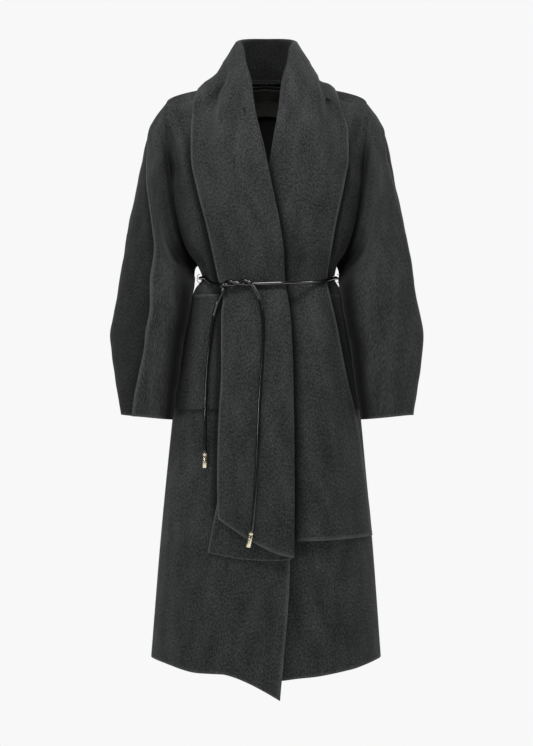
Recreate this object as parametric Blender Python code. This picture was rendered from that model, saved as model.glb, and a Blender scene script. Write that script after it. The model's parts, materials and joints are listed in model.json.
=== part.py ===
"""Belted wrap coat in double-faced wool, filled out as if worn, with nobody in it.

Metres, +Z up.  The front faces -Y and +X is the wearer's left.  The origin is at
the base of the neck, between the inner shoulders, where the wearer carries it.
Each panel is a grid of points laid on the coat's own sections and thickened to a wall.
"""
import bpy
import bmesh
import numpy as np
from math import cos, pi, radians, sin
from mathutils import Vector

# ---------------------------------------------------------------- driving sizes
CLOTH = 0.003                # wall of the double-faced wool
SEAM = 0.0005                # space left where two panels meet
FOLD = 0.0022                # radius of the roll at an edge of the collar, at the chest
FOLD_NECK = 0.0050           # the same on top of the collar's stand
TURN = 0.018                 # width turned under at the inner edge of a lapel
TUCK_FRONT = -0.0200         # how deep the under front lies where the other laps it
TUCK_COLLAR = -0.0215        # how much deeper the under lapel lies there than beside it
TUCK_FROM, TUCK_TO = 0.045, 0.105    # across the front, where that depth fades out
TUCK_TOP = 0.100             # how far below the neck it starts to grow
SHOULDER_SLOPE = 0.26        # fall of the shoulder line for each metre out
SLEEVE_ROUND = 0.11          # half the way round a sleeve, for the width of its seam's gap
CORD = 0.0034                # radius of the belt's leather cord
CORD_LIFT = CLOTH / 2 + CORD + 2 * SEAM  # the belt's centre line, out from the wall it lies on
TIP_RADIUS, TIP_LENGTH = 0.0046, 0.029
THREAD = 0.0007              # radius of the thread in a belt loop
LOOP_OUT, LOOP_FLARE, LOOP_HALF = 0.0088, 0.0012, 0.0085
POCKET_TOP, POCKET_BOTTOM = -0.412, -0.637
POCKET_LIFT = CLOTH + 0.0015
POCKET_FROM = {"right": 0.080, "left": 0.100}   # inner edge of each pocket, from the middle
PATCH_WIDTH, PATCH_THICK, PATCH_GAP = 0.074, 0.0010, 0.0036
PATCH_ROWS = (0.12, 2.05)    # the back's sections that the neck patch reaches from and to
HANGER_WIDTH, HANGER_Y = 0.064, 0.0738
HANGER_Z = (0.0300, 0.0215)

# Sides of the body, a row for each section from shoulder to hem.  Down to the
# underarm the side is the armhole, whose two edges lie apart; below it, the side seam.
SIDE_COLUMNS = ("z", "right", "left", "front", "back")
SIDE_ROWS = (
    (-0.026, 0.2000, 0.2000, 0.010, 0.010),      # shoulder
    (-0.039, 0.2015, 0.2015, -0.014, 0.030),
    (-0.061, 0.2010, 0.2010, -0.025, 0.042),
    (-0.095, 0.1980, 0.1980, -0.024, 0.046),
    (-0.130, 0.1960, 0.1960, -0.018, 0.047),
    (-0.180, 0.1900, 0.1900, -0.010, 0.042),     # chest
    (-0.235, 0.1820, 0.1820, -0.010, 0.033),
    (-0.285, 0.1710, 0.1710, -0.009, 0.022),
    (-0.325, 0.1550, 0.1560, -0.0095, 0.010),
    (-0.350, 0.1370, 0.1400, 0.000, 0.000),      # underarm
    (-0.377, 0.1270, 0.1345, 0.000, 0.000),      # waist, under the belt
    (-0.400, 0.1420, 0.1460, 0.000, 0.000),
    (-0.470, 0.1610, 0.1650, 0.000, 0.000),
    (-0.620, 0.1820, 0.1835, 0.000, 0.000),      # hip
    (-0.750, 0.1960, 0.1960, 0.000, 0.000),
    (-0.900, 0.2105, 0.2100, 0.000, 0.000),
    (-1.131, 0.2290, 0.2270, 0.000, 0.000),      # hem
)
# The same sections where they cross the middle, and how they round to the side:
# depth falls off as (1 - t^full)^blunt and height as (1 - t)^drop, t = 0 to 1.
MIDDLE_COLUMNS = ("front_z", "front", "back_z", "back", "full", "blunt", "drop")
MIDDLE_ROWS = (
    (0.0180, 0.075, 0.0180, 0.075, 2.2, 8.0, 0.48),
    (0.0150, -0.023, -0.012, 0.090, 2.0, 1.0, 1.2),
    (-0.007, -0.056, -0.038, 0.098, 2.0, 1.0, 1.2),
    (-0.054, -0.084, -0.080, 0.105, 2.0, 1.0, 1.2),
    (-0.112, -0.104, -0.120, 0.108, 2.0, 0.75, 1.2),
    (-0.178, -0.112, -0.178, 0.108, 2.0, 0.58, 1.2),
    (-0.235, -0.114, -0.235, 0.104, 2.0, 0.48, 1.2),
    (-0.285, -0.113, -0.285, 0.098, 2.0, 0.44, 1.2),
    (-0.327, -0.109, -0.323, 0.092, 2.0, 0.45, 1.2),
    (-0.356, -0.104, -0.347, 0.087, 2.1, 0.49, 1.2),
    (-0.390, -0.0985, -0.373, 0.082, 2.2, 0.48, 1.2),
    (-0.412, -0.103, -0.397, 0.087, 2.2, 0.48, 1.2),
    (-0.475, -0.117, -0.470, 0.105, 2.2, 0.48, 1.2),
    (-0.620, -0.133, -0.620, 0.129, 2.15, 0.48, 1.2),
    (-0.750, -0.142, -0.750, 0.139, 2.1, 0.49, 1.2),
    (-0.900, -0.149, -0.900, 0.147, 2.1, 0.49, 1.2),
    (-1.131, -0.156, -1.131, 0.155, 2.1, 0.49, 1.2),
)
UNDERARM_ROW = 9
WAIST_ROW = 10
HEM_ROW = len(SIDE_ROWS) - 1
# Front edges: how far past the middle each front reaches, at the same sections.
EDGE_COLUMNS = ("right", "left")
EDGE_ROWS = (
    (-0.075, -0.075), (-0.062, -0.062), (-0.052, -0.052), (-0.036, -0.036), (-0.024, -0.024),
    (-0.012, -0.010), (0.000, 0.006), (0.010, 0.018), (0.017, 0.026), (0.020, 0.030),
    (0.021, 0.032), (0.023, 0.034), (0.028, 0.036), (0.035, 0.038), (0.040, 0.040),
    (0.0450, 0.040), (0.0260, 0.040),
)
# Sleeve sections from the armhole, fanned about the underarm, to the cuff.  The
# first one is the armhole itself.  "seam" is where the ridge seam crosses, as a
# part of the way from the underarm seam round the front to the outside edge.
SLEEVE_COLUMNS = ("outer_x", "outer_y", "outer_z", "inner_x", "inner_y", "inner_z",
                  "front", "back", "bow", "seam_right", "seam_left")
SLEEVE_ROWS = (
    (0.2000, 0.010, -0.026, 0.1370, 0.000, -0.350, 0.000, 0.000, 0.000, 1.00, 1.00),
    (0.2260, 0.006, -0.064, 0.1430, 0.000, -0.356, 0.056, 0.062, 0.024, 1.00, 1.00),
    (0.2435, 0.000, -0.125, 0.1450, -0.003, -0.362, 0.069, 0.069, 0.024, 0.76, 0.78),
    (0.2570, -0.004, -0.195, 0.1460, -0.008, -0.370, 0.073, 0.072, 0.017, 0.57, 0.82),
    (0.2730, -0.008, -0.270, 0.1435, -0.024, -0.382, 0.072, 0.072, 0.010, 0.51, 0.86),
    (0.2865, -0.016, -0.355, 0.1450, -0.056, -0.402, 0.060, 0.069, 0.004, 0.53, 0.89),
    (0.3000, -0.026, -0.440, 0.1530, -0.073, -0.450, 0.050, 0.060, 0.000, 0.50, 0.90),
    (0.3085, -0.032, -0.496, 0.1630, -0.075, -0.500, 0.048, 0.058, 0.000, 0.50, 0.90),
    (0.2990, -0.040, -0.572, 0.1740, -0.077, -0.580, 0.045, 0.052, 0.000, 0.565, 0.90),
    (0.2865, -0.046, -0.648, 0.1855, -0.078, -0.657, 0.039, 0.044, 0.000, 0.66, 0.90),
)
# Collar round the neck, from the middle of the back to the top of the lapel, for
# either side: the neck seam, the roll line and the free edge ("out" is away from
# the middle), and how far the fall bellies out between the roll and the edge.
NECK_COLUMNS = ("seam_out", "seam_y", "seam_z", "roll_out", "roll_y", "roll_z",
                "edge_out", "edge_y", "edge_z", "belly")
NECK_ROWS = (
    (0.0003, 0.0775, 0.0205, 0.0003, 0.0830, 0.1090, 0.0003, 0.1110, -0.040, 0.004),
    (0.0350, 0.0700, 0.0185, 0.0300, 0.0770, 0.1085, 0.0580, 0.1060, -0.036, 0.004),
    (0.0560, 0.0520, 0.0160, 0.0500, 0.0560, 0.1050, 0.1020, 0.0820, -0.018, 0.003),
    (0.0650, 0.0240, 0.0140, 0.0625, 0.0240, 0.0960, 0.1270, 0.0430, -0.002, 0.000),
    (0.0610, -0.0080, 0.0080, 0.0560, -0.0060, 0.0850, 0.1330, 0.0090, 0.0050, 0.000),
    (0.0590, -0.0330, -0.004, 0.0500, -0.0300, 0.0540, 0.1390, -0.0240, -0.010, 0.006),
    (0.0530, -0.0560, -0.022, 0.0395, -0.0540, 0.0180, 0.1445, -0.0560, -0.039, 0.012),
)
# Lapel and scarf end, laid on the front: roll line and free edge as seen from the
# front, and how far each lies out from the front panel.
FALL_COLUMNS = ("roll_out", "roll_z", "edge_out", "edge_z", "roll_lift", "edge_lift", "belly")
FALL_RIGHT = (
    (0.0245, -0.060, 0.1480, -0.090, 0.0150, 0.0060, 0.010),
    (0.0075, -0.131, 0.1475, -0.142, 0.0130, 0.0065, 0.010),
    (-0.0055, -0.197, 0.1370, -0.200, 0.0125, 0.0070, 0.009),
    (-0.0220, -0.277, 0.1170, -0.277, 0.0125, 0.0070, 0.006),
    (-0.0295, -0.330, 0.1050, -0.330, 0.0120, 0.0070, 0.003),
    (-0.0315, -0.386, 0.0935, -0.384, 0.0115, 0.0075, 0.000),
    (-0.0380, -0.422, 0.0845, -0.420, 0.0125, 0.0090, 0.001),
    (-0.0430, -0.460, 0.0876, -0.457, 0.0130, 0.0095, 0.002),
    (-0.0475, -0.560, 0.0876, -0.560, 0.0136, 0.0095, 0.003),
    (-0.0495, -0.680, 0.0930, -0.670, 0.0150, 0.0098, 0.003),
    (-0.0500, -0.810, 0.0950, -0.775, 0.0152, 0.0100, 0.003),
    (-0.0488, -0.921, 0.0935, -0.847, 0.0148, 0.0104, 0.002),
)
FALL_LEFT = (
    (0.0255, -0.062, 0.1610, -0.088, 0.0150, 0.0060, 0.010),
    (0.0140, -0.130, 0.1610, -0.140, 0.0130, 0.0065, 0.010),
    (0.0060, -0.195, 0.1520, -0.195, 0.0125, 0.0070, 0.009),
    (-0.0030, -0.277, 0.1345, -0.277, 0.0125, 0.0070, 0.006),
    (-0.0050, -0.330, 0.1255, -0.330, 0.0120, 0.0070, 0.003),
    (-0.0050, -0.388, 0.1185, -0.384, 0.0115, 0.0075, 0.000),
    (-0.0020, -0.424, 0.1250, -0.421, 0.0125, 0.0096, 0.001),
    (0.0020, -0.470, 0.1365, -0.470, 0.0130, 0.0098, 0.003),
    (0.0100, -0.570, 0.1560, -0.570, 0.0130, 0.0098, 0.004),
    (0.0180, -0.670, 0.1790, -0.668, 0.0130, 0.0090, 0.004),
    (0.0280, -0.790, 0.1970, -0.785, 0.0130, 0.0065, 0.003),
    (0.0350, -0.8915, 0.2085, -0.887, 0.0130, 0.0060, 0.002),
)
END_SWEEP = 1.4              # the slant of the upper layer's end eases off toward the roll
# Lower layer of the right scarf end, from the belt to its longer, wider end.
UNDER_COLUMNS = ("roll_out", "roll_z", "edge_out", "edge_z", "lift")
UNDER_ROWS = (
    (-0.0120, -0.405, 0.0740, -0.405, 0.0050),
    (-0.0200, -0.560, 0.0760, -0.560, 0.0050),
    (-0.0300, -0.700, 0.0800, -0.700, 0.0042),
    (-0.0430, -0.820, 0.0950, -0.815, 0.0042),
    (-0.0465, -0.880, 0.1065, -0.872, 0.0042),
    (-0.0470, -0.926, 0.1135, -0.913, 0.0042),
)
# Folds that fall from the belt in the skirt: on the front (-1) or back (+1), from
# top to bottom, with the width and depth of each soft trough.
FOLD_COLUMNS = ("face", "top_x", "top_z", "end_x", "end_z", "width", "depth")
FOLD_ROWS = (
    (-1, -0.108, -0.395, -0.125, -0.900, 0.018, 0.0045),
    (-1, 0.128, -0.400, 0.165, -0.860, 0.016, 0.0035),
    (1, -0.070, -0.390, -0.105, -1.050, 0.022, 0.0080),
    (1, 0.015, -0.385, 0.030, -1.120, 0.020, 0.0070),
    (1, 0.082, -0.390, 0.135, -1.000, 0.020, 0.0065),
    (1, -0.030, -0.360, -0.045, -0.140, 0.018, 0.0050),
    (1, 0.055, -0.362, 0.085, -0.180, 0.018, 0.0045),
)
# The belt's cord where it lies on the front, as points across, up and out from the
# front panel.  Its two ends cross twice in a half knot: in front at LIFT_OVER, behind
# at LIFT_ON, which rests on the lapels.
LIFT_ON, LIFT_OVER = 0.0172, 0.0256
ROUTE_COLUMNS = ("x", "z", "lift")
BELT_FROM_KNOT = (
    (-0.0597, -0.39275, LIFT_ON), (-0.0612, -0.3935, LIFT_ON), (-0.0690, -0.3949, 0.0203),
    (-0.0780, -0.3948, LIFT_OVER), (-0.0870, -0.3937, 0.0248), (-0.1010, -0.3905, 0.0150),
    (-0.1120, -0.3865, 0.0090),
)
BELT_TO_KNOT = (
    (0.1200, -0.3832, 0.0142), (0.1080, -0.3866, 0.0156), (0.0850, -0.3890, 0.0160),
    (0.0550, -0.3905, 0.0176), (0.0310, -0.3913, 0.0194), (0.0000, -0.3925, 0.0176),
    (-0.0200, -0.3930, LIFT_ON), (-0.0320, -0.3933, LIFT_ON),
)
BELT_END_LONG = (
    (-0.0582, -0.3921, LIFT_ON), (-0.0562, -0.3912, LIFT_ON), (-0.0500, -0.3874, 0.0180),
    (-0.0420, -0.3862, 0.0218), (-0.0325, -0.3905, LIFT_OVER), (-0.0240, -0.4010, 0.0240),
    (-0.0160, -0.4155, 0.0215), (-0.0106, -0.4328, 0.0205), (-0.0071, -0.4541, 0.0205),
    (-0.0060, -0.4792, 0.0205), (-0.0071, -0.5139, 0.0205), (-0.0095, -0.5602, 0.0205),
    (-0.0133, -0.6181, 0.0205), (-0.0158, -0.6760, 0.0205), (-0.0183, -0.7378, 0.0210),
    (-0.0222, -0.8015, 0.0215), (-0.0268, -0.8574, 0.0215), (-0.0290, -0.8719, 0.0215),
)
BELT_END_SHORT = (
    (-0.0328, -0.3934, LIFT_ON), (-0.0350, -0.3935, LIFT_ON), (-0.0420, -0.3938, 0.0190),
    (-0.0510, -0.3927, 0.0238), (-0.0610, -0.3900, LIFT_OVER), (-0.0705, -0.3876, 0.0243),
    (-0.0775, -0.3886, 0.0195), (-0.0808, -0.3942, 0.0168), (-0.0822, -0.4010, 0.0168),
    (-0.0878, -0.4116, 0.0172), (-0.0965, -0.4309, 0.0160), (-0.1023, -0.4521, 0.0125),
    (-0.1071, -0.4830, 0.0118), (-0.1119, -0.5216, 0.0118), (-0.1158, -0.5641, 0.0118),
    (-0.1179, -0.6085, 0.0118), (-0.1187, -0.6500, 0.0120), (-0.1190, -0.6900, 0.0105),
    (-0.1191, -0.7214, 0.0095),
)


# ---------------------------------------------------------------- tables and curves
def table(columns, rows):
    values = np.array(rows, dtype=float)
    return {name: values[:, i] for i, name in enumerate(columns)}


def through(values, at):
    """A smooth curve through a column's values, one apart, that never overshoots them."""
    values = np.asarray(values, dtype=float)
    slope = np.diff(values)
    tangent = np.zeros_like(values)
    tangent[0], tangent[-1] = slope[0], slope[-1]
    same = slope[:-1] * slope[1:] > 0
    total = np.where(same, slope[:-1] + slope[1:], 1.0)
    tangent[1:-1] = np.where(same, 2 * slope[:-1] * slope[1:] / total, 0.0)
    at = np.clip(at, 0, len(values) - 1)
    i = np.clip(np.floor(at).astype(int), 0, len(values) - 2)
    u = at - i
    return ((1 + 2 * u) * (1 - u) ** 2 * values[i] + u * (1 - u) ** 2 * tangent[i]
            + u * u * (3 - 2 * u) * values[i + 1] - u * u * (1 - u) * tangent[i + 1])


def ease(value, start, end):
    t = np.clip((value - start) / (end - start), 0, 1)
    return t * t * (3 - 2 * t)


SIDE = table(SIDE_COLUMNS, SIDE_ROWS)
MIDDLE = table(MIDDLE_COLUMNS, MIDDLE_ROWS)
EDGE = table(EDGE_COLUMNS, EDGE_ROWS)
SLEEVE = table(SLEEVE_COLUMNS, SLEEVE_ROWS)
FOLDS = table(FOLD_COLUMNS, FOLD_ROWS)


# ---------------------------------------------------------------- the body's surface
def folds(face, x, z):
    """Depth of the soft troughs at a place on the front or the back."""
    depth = np.zeros_like(x)
    for i in range(len(FOLD_ROWS)):
        if FOLDS["face"][i] != face:
            continue
        along = (z - FOLDS["top_z"][i]) / (FOLDS["end_z"][i] - FOLDS["top_z"][i])
        middle = FOLDS["top_x"][i] + along * (FOLDS["end_x"][i] - FOLDS["top_x"][i])
        width = FOLDS["width"][i] * (0.6 + 0.8 * np.clip(along, 0, 1))
        run = ease(along, 0.0, 0.12) * (1 - ease(along, 0.45, 1.0))
        depth += FOLDS["depth"][i] * run * np.exp(-((x - middle) / width) ** 2)
    return depth


def body(face, row, x, lift=0.0):
    """Points on the front (-1) or back (+1) at a section, x across, out by lift."""
    name = "front" if face < 0 else "back"
    half = np.where(x < 0, through(SIDE["right"], row), through(SIDE["left"], row)) + lift
    t = np.clip(np.abs(x) / half, 0, 1)
    side_y = through(SIDE[name], row)
    middle_y = through(MIDDLE[name], row) + face * lift
    side_z = through(SIDE["z"], row)
    middle_z = through(MIDDLE[name + "_z"], row)
    round_off = (1 - t ** through(MIDDLE["full"], row)) ** through(MIDDLE["blunt"], row)
    z = side_z + (middle_z - side_z) * (1 - t) ** through(MIDDLE["drop"], row)
    y = side_y + (middle_y - side_y) * round_off
    return np.stack([x + 0 * y, y - face * folds(face, x, z) * (1 - t ** 4), z + 0 * y], axis=-1)


def front_at(x, z, lift):
    """The front's point at a place seen from the front, out by lift."""
    low = np.zeros_like(x)
    high = np.full_like(x, HEM_ROW)
    for _ in range(30):
        middle = (low + high) / 2
        above = body(-1, middle, x, lift)[..., 2] > z
        low = np.where(above, middle, low)
        high = np.where(above, high, middle)
    point = body(-1, low, x, lift)
    point[..., 2] = z
    return point


# ---------------------------------------------------------------- Blender helpers
def clear_scene():
    for thing in list(bpy.data.objects):
        bpy.data.objects.remove(thing, do_unlink=True)


def material(name, colour, roughness, metallic=0.0):
    made = bpy.data.materials.new(name)
    made.use_nodes = True
    shader = made.node_tree.nodes["Principled BSDF"]
    shader.inputs["Base Color"].default_value = (*colour, 1.0)
    shader.inputs["Roughness"].default_value = roughness
    shader.inputs["Metallic"].default_value = metallic
    return made


def place(name, data, look):
    thing = bpy.data.objects.new(name, data)
    thing.data.materials.append(look)
    bpy.context.scene.collection.objects.link(thing)
    return thing


def grid_normals(points):
    """The cloth's own direction outward at each point of a grid."""
    normal = np.cross(np.gradient(points, axis=0), np.gradient(points, axis=1))
    return normal / np.linalg.norm(normal, axis=-1, keepdims=True)


def face_along(normal, direction, where):
    """Turn the normals of some grid points to one direction, keeping their side."""
    direction = np.array(direction) / np.linalg.norm(direction)
    same = np.sign((normal[where] * direction).sum(axis=-1, keepdims=True))
    normal[where] = direction * np.where(same < 0, -1.0, 1.0)


def panel(name, points, look, normals=None, thickness=CLOTH):
    """A cloth panel: a wall through a grid of points, half its thickness to each side."""
    if normals is None:
        normals = grid_normals(points)
    rows, columns = points.shape[:2]
    wall = bmesh.new()
    outer, inner = ([[wall.verts.new(points[r, c] + side * normals[r, c] * thickness / 2)
                      for c in range(columns)] for r in range(rows)] for side in (1, -1))
    for r in range(rows - 1):
        for c in range(columns - 1):
            wall.faces.new((outer[r][c], outer[r + 1][c], outer[r + 1][c + 1], outer[r][c + 1]))
            wall.faces.new((inner[r][c], inner[r][c + 1], inner[r + 1][c + 1], inner[r + 1][c]))
    border = ([(0, c) for c in range(columns - 1)] + [(r, columns - 1) for r in range(rows - 1)]
              + [(rows - 1, c) for c in range(columns - 1, 0, -1)] + [(r, 0) for r in range(rows - 1, 0, -1)])
    for (r, c), (r2, c2) in zip(border, border[1:] + border[:1]):
        wall.faces.new((outer[r][c], outer[r2][c2], inner[r2][c2], inner[r][c]))
    mesh = bpy.data.meshes.new(name)
    wall.to_mesh(mesh)
    wall.free()
    mesh.shade_smooth()
    mesh.set_sharp_from_angle(angle=radians(50))
    return place(name, mesh, look)


def tube(name, points, radius, look, resolution=2):
    """A round cord along a line of points, with closed ends."""
    curve = bpy.data.curves.new(name, "CURVE")
    curve.dimensions = "3D"
    curve.bevel_depth = radius
    curve.bevel_resolution = resolution
    curve.use_fill_caps = True
    spline = curve.splines.new("POLY")
    spline.points.add(len(points) - 1)
    for spot, point in zip(spline.points, points):
        spot.co = (*point, 1.0)
    return place(name, curve, look)


def smooth_route(points, count):
    """Evenly spaced points on a smooth curve through a cord's route."""
    route = [Vector(p) for p in points]
    fine = []
    for i in range(len(route) - 1):
        before = route[max(i - 1, 0)]
        after = route[min(i + 2, len(route) - 1)]
        a, b = route[i], route[i + 1]
        for k in range(12):
            u = k / 12
            fine.append(0.5 * (2 * a + (b - before) * u + (2 * before - 5 * a + 4 * b - after) * u ** 2
                               + (3 * a - before - 3 * b + after) * u ** 3))
    fine.append(route[-1])
    length = [0.0]
    for a, b in zip(fine, fine[1:]):
        length.append(length[-1] + (b - a).length)
    wanted = np.linspace(0, length[-1], count)
    return [Vector([np.interp(w, length, [p[k] for p in fine]) for k in range(3)]) for w in wanted]


# ---------------------------------------------------------------- pieces
def make_back(look):
    rows = np.array([0, 0.5, 1, 1.6, 2.3, 3, 4, 5, 6, 7, 8, 9, 9.5, 10, 10.5, 11, 11.6, 12.3, 13, 14, 15, 16])
    angle = np.linspace(-pi / 2, pi / 2, 17)
    grid = []
    for row in rows:
        half = np.where(angle < 0, through(SIDE["right"], row), through(SIDE["left"], row))
        points = body(1, np.full_like(angle, row), half * np.sin(angle))
        points[:, 1] += SEAM / 2
        grid.append(points)
    grid = np.array(grid)
    normal = grid_normals(grid)
    shoulder_seam_normals(normal, grid)
    side_seam_normals(normal, rows, (0, -1))
    return panel("back", grid[:, ::-1], look, -normal[:, ::-1])


def shoulder_seam_normals(normal, grid):
    """Front and back face the same way along the shoulder seam, so their edges meet square."""
    for c in np.flatnonzero(np.abs(grid[0, :, 0]) > 0.070):
        slope = SHOULDER_SLOPE * np.sign(grid[0, c, 0])
        face_along(normal, (slope, 0, 1), (slice(0, 1), slice(c, c + 1)))


def side_seam_normals(normal, rows, columns):
    """Below the underarm, front and back both face straight out at the side seam."""
    below = np.flatnonzero(rows >= UNDERARM_ROW)
    for c in columns:
        for r in below:
            face_along(normal, (1, 0, 0), (slice(r, r + 1), slice(c, c + 1) if c >= 0 else slice(-1, None)))


def hem_dip(side, x):
    """How far the hem drops below the level at its side seam."""
    if side < 0:
        return 0.016 * ease(x, -0.2295, -0.130) + 0.050 * np.clip((x + 0.084) / 0.110, 0, 1) ** 1.4
    return 0.013 * ease(-x, -0.227, -0.150) + 0.017 * np.clip((0.157 - x) / 0.124, 0, 1)


def make_front(side, look):
    rows = np.array([0, 0.35, 1, 1.6, 2.3, 3, 4, 5, 6, 7, 8, 9, 9.5, 10, 10.5, 11, 11.6, 12.3, 13, 14, 15, 15.5, 16])
    name = "right" if side < 0 else "left"
    grid = []
    for row in rows:
        near = through(SIDE[name], row)
        reach = -through(EDGE[name], row) / near
        angle = np.linspace(np.arcsin(reach), pi / 2, 12)
        x = side * near * np.sin(angle)
        z = body(-1, np.full_like(x, row), x)[:, 2]
        lift = tuck(side, x, z) * TUCK_FRONT
        points = body(-1, np.full_like(x, row), x, lift)
        points[:, 1] -= SEAM / 2
        points[:, 2] -= hem_dip(side, x) * ease(row, 14.0, 16.0)
        grid.append(points)
    grid = np.array(grid)
    normal = grid_normals(grid)
    shoulder_seam_normals(normal, grid)
    side_seam_normals(normal, rows, (-1,))
    return panel("front_" + name, *oriented(grid, normal, look, side < 0))


def oriented(grid, normal, look, keep):
    """A grid and its normals the right way round for a panel on either side."""
    if keep:
        return grid, look, normal
    return grid[:, ::-1], look, -normal[:, ::-1]


def tuck(side, x, z):
    """1 where the left front and its lapel dip below the right front, 0 where they lie free."""
    if side < 0:
        return 0.0 * x
    return (1 - ease(x, TUCK_FROM, TUCK_TO)) * ease(-z, TUCK_TOP, TUCK_TOP + 0.08)


def armhole(side, part):
    """A point of the armhole; part is 0 at the underarm, 1 at the shoulder and 2 back again."""
    name = "right" if side < 0 else "left"
    height = 1 - abs(part - 1)
    along = (1 - cos(pi * height)) / 2
    top, low = SIDE["z"][0], SIDE["z"][UNDERARM_ROW]
    z = low + (top - low) * along
    row = np.interp(-z, -SIDE["z"][:UNDERARM_ROW + 1], np.arange(UNDERARM_ROW + 1))
    depth = through(SIDE["front" if part < 1 else "back"], row)
    gap = 2.5 * SEAM + (CLOTH + SEAM) * ease(row, 1.0, 5.0)
    return np.array([side * (through(SIDE[name], row) + gap), depth, z])


def sleeve_point(side, ring, part):
    """A point of the sleeve: ring 0 to 9 from armhole to cuff, part 0 to 2 round it."""
    turn = pi * part
    spots = [armhole(side, part)]
    for i in range(1, len(SLEEVE_ROWS)):
        s = {key: SLEEVE[key][i] for key in SLEEVE_COLUMNS}
        across = (1 - cos(turn)) / 2
        swell = abs(sin(turn)) ** 0.85
        depth = -s["front"] if part < 1 else s["back"]
        bow = s["bow"] * swell * 2 * (1 - across)
        spots.append(np.array([
            side * (s["inner_x"] + (s["outer_x"] - s["inner_x"]) * across + bow),
            s["inner_y"] + (s["outer_y"] - s["inner_y"]) * across + depth * swell,
            s["inner_z"] + (s["outer_z"] - s["inner_z"]) * across]))
    spots = np.array(spots)
    return np.array([through(spots[:, k], ring) for k in range(3)])


def make_sleeve(side, look):
    name = "right" if side < 0 else "left"
    rings = np.array([0, 0.3, 0.7, 1.2, 2, 3, 4, 5, 6, 6.7, 7, 7.3, 8, 9])
    ahead, behind = 9, 11
    grid = []
    for ring in rings:
        seam = through(SLEEVE["seam_" + name], ring)
        gap = SEAM / SLEEVE_ROUND
        parts = np.concatenate([np.linspace(0, seam - gap, ahead), np.linspace(seam + gap, 2, behind)])
        points = np.array([sleeve_point(side, ring, part) for part in parts])
        shift = np.where(np.arange(ahead + behind) < ahead, -SEAM, SEAM)
        points[:, 1] += shift * np.maximum(ease(np.abs(parts - 1), 0.7, 1.0), 1 - ease(ring, 0.0, 1.2))
        grid.append(points)
    grid = np.array(grid)
    normal = grid_normals(grid)
    for one, other in ((0, -1), (ahead - 1, ahead)):    # underarm seam, ridge seam
        shared = normal[:, one] + normal[:, other]
        normal[:, one] = normal[:, other] = shared / np.linalg.norm(shared, axis=-1, keepdims=True)
    for half, columns in (("front", slice(0, ahead)), ("back", slice(ahead, None))):
        panel(f"sleeve_{name}_{half}", *oriented(grid[:, columns], normal[:, columns], look, side > 0))


def strip_rows(side):
    """Neck seam, roll line and free edge of one collar at each of its sections."""
    neck = table(NECK_COLUMNS, NECK_ROWS)
    fall = table(FALL_COLUMNS, FALL_RIGHT if side < 0 else FALL_LEFT)
    lines = {part: [np.array([neck[part + k][i] for k in ("_out", "_y", "_z")]) for i in range(len(NECK_ROWS))]
             for part in ("seam", "roll", "edge")}
    count = len(fall["roll_z"])
    for i in range(count):
        for part in ("roll", "edge"):
            x = np.array([side * fall[part + "_out"][i]])
            z = np.array([fall[part + "_z"][i]])
            point = front_at(x, z, fall[part + "_lift"][i] + tuck(side, x, z) * TUCK_COLLAR)[0]
            lines[part].append(np.array([side * point[0], point[1], point[2]]))
        lines["seam"].append(lines["roll"][-1] + np.array([TURN, 2 * FOLD + 0.001, -0.002]))
    lifts = {
        "roll": [0.0] * len(NECK_ROWS) + list(fall["roll_lift"]),
        "edge": [0.0] * len(NECK_ROWS) + list(fall["edge_lift"]),
        "belly": list(neck["belly"]) + list(fall["belly"]),
        "hug": [0.0] * len(NECK_ROWS) + [1.0] * count,
        "fold": [FOLD_NECK] * len(NECK_ROWS) + [FOLD] * count,
    }
    return {part: np.array(line) for part, line in lines.items()}, lifts


def unit(vector):
    return vector / np.linalg.norm(vector)


def collar_section(side, s, lines, lifts, across):
    """One section of a collar: up the turned-under part, round the roll, out to the free edge."""
    last = len(lines["roll"]) - 1
    start, top, end = (np.array([through(lines[part][:, k], s) for k in range(3)])
                       for part in ("seam", "roll", "edge"))
    ahead = unit(np.array([through(lines["roll"][:, k], min(s + 0.05, last))
                           - through(lines["roll"][:, k], max(s - 0.05, 0)) for k in range(3)]))
    if s == 0:
        ahead = np.array([1.0, 0.0, 0.0])
    fold = through(lifts["fold"], s)
    back_to_cloth = unit(end - top) + unit(start - top)
    tip = unit(ahead * np.dot(back_to_cloth, ahead) - back_to_cloth)
    behind = unit(np.cross(ahead, tip))
    turned = top + behind * 2 * fold
    line = [start + (turned - start) * k for k in (0.0, 0.5, 1.0)]
    for angle in (radians(55), radians(125)):
        line.append(top + behind * fold + fold * (cos(angle) * behind + sin(angle) * tip))
    hug = through(lifts["hug"], s)
    sweep = 1 + (END_SWEEP - 1) * ease(s, last - 1, last) * (side < 0)
    out = top[0] + (end[0] - top[0]) * across
    z = top[2] + (end[2] - top[2]) * across ** sweep
    y = top[1] + (end[1] - top[1]) * across
    belly = through(lifts["belly"], s) * np.sin(pi * across)
    lift = through(lifts["roll"], s) * (1 - across) + through(lifts["edge"], s) * across + belly
    on_front = front_at(side * out, z, lift + tuck(side, side * out, z) * TUCK_COLLAR)[:, 1]
    free = np.stack([out, y, z], axis=-1) - belly[:, None] * behind
    laid = np.stack([out, on_front, z], axis=-1)
    return np.array(line + list(free * (1 - hug) + laid * hug))


def make_collar(side, look):
    lines, lifts = strip_rows(side)
    last = len(lines["roll"]) - 1
    stations = np.unique(np.concatenate([np.linspace(0, 7, 13), np.linspace(7, last, 21)]))
    across = np.array([0.0, 0.06, 0.2, 0.4, 0.6, 0.8, 1.0])
    grid = np.array([collar_section(side, s, lines, lifts, across) for s in stations])
    grid[..., 0] *= side
    normal = grid_normals(grid)
    normal[0, :, 0] = 0.0
    normal[0] /= np.linalg.norm(normal[0], axis=-1, keepdims=True)
    name = "collar_right" if side < 0 else "collar_left"
    return panel(name, *oriented(grid, normal, look, side < 0))


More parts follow.
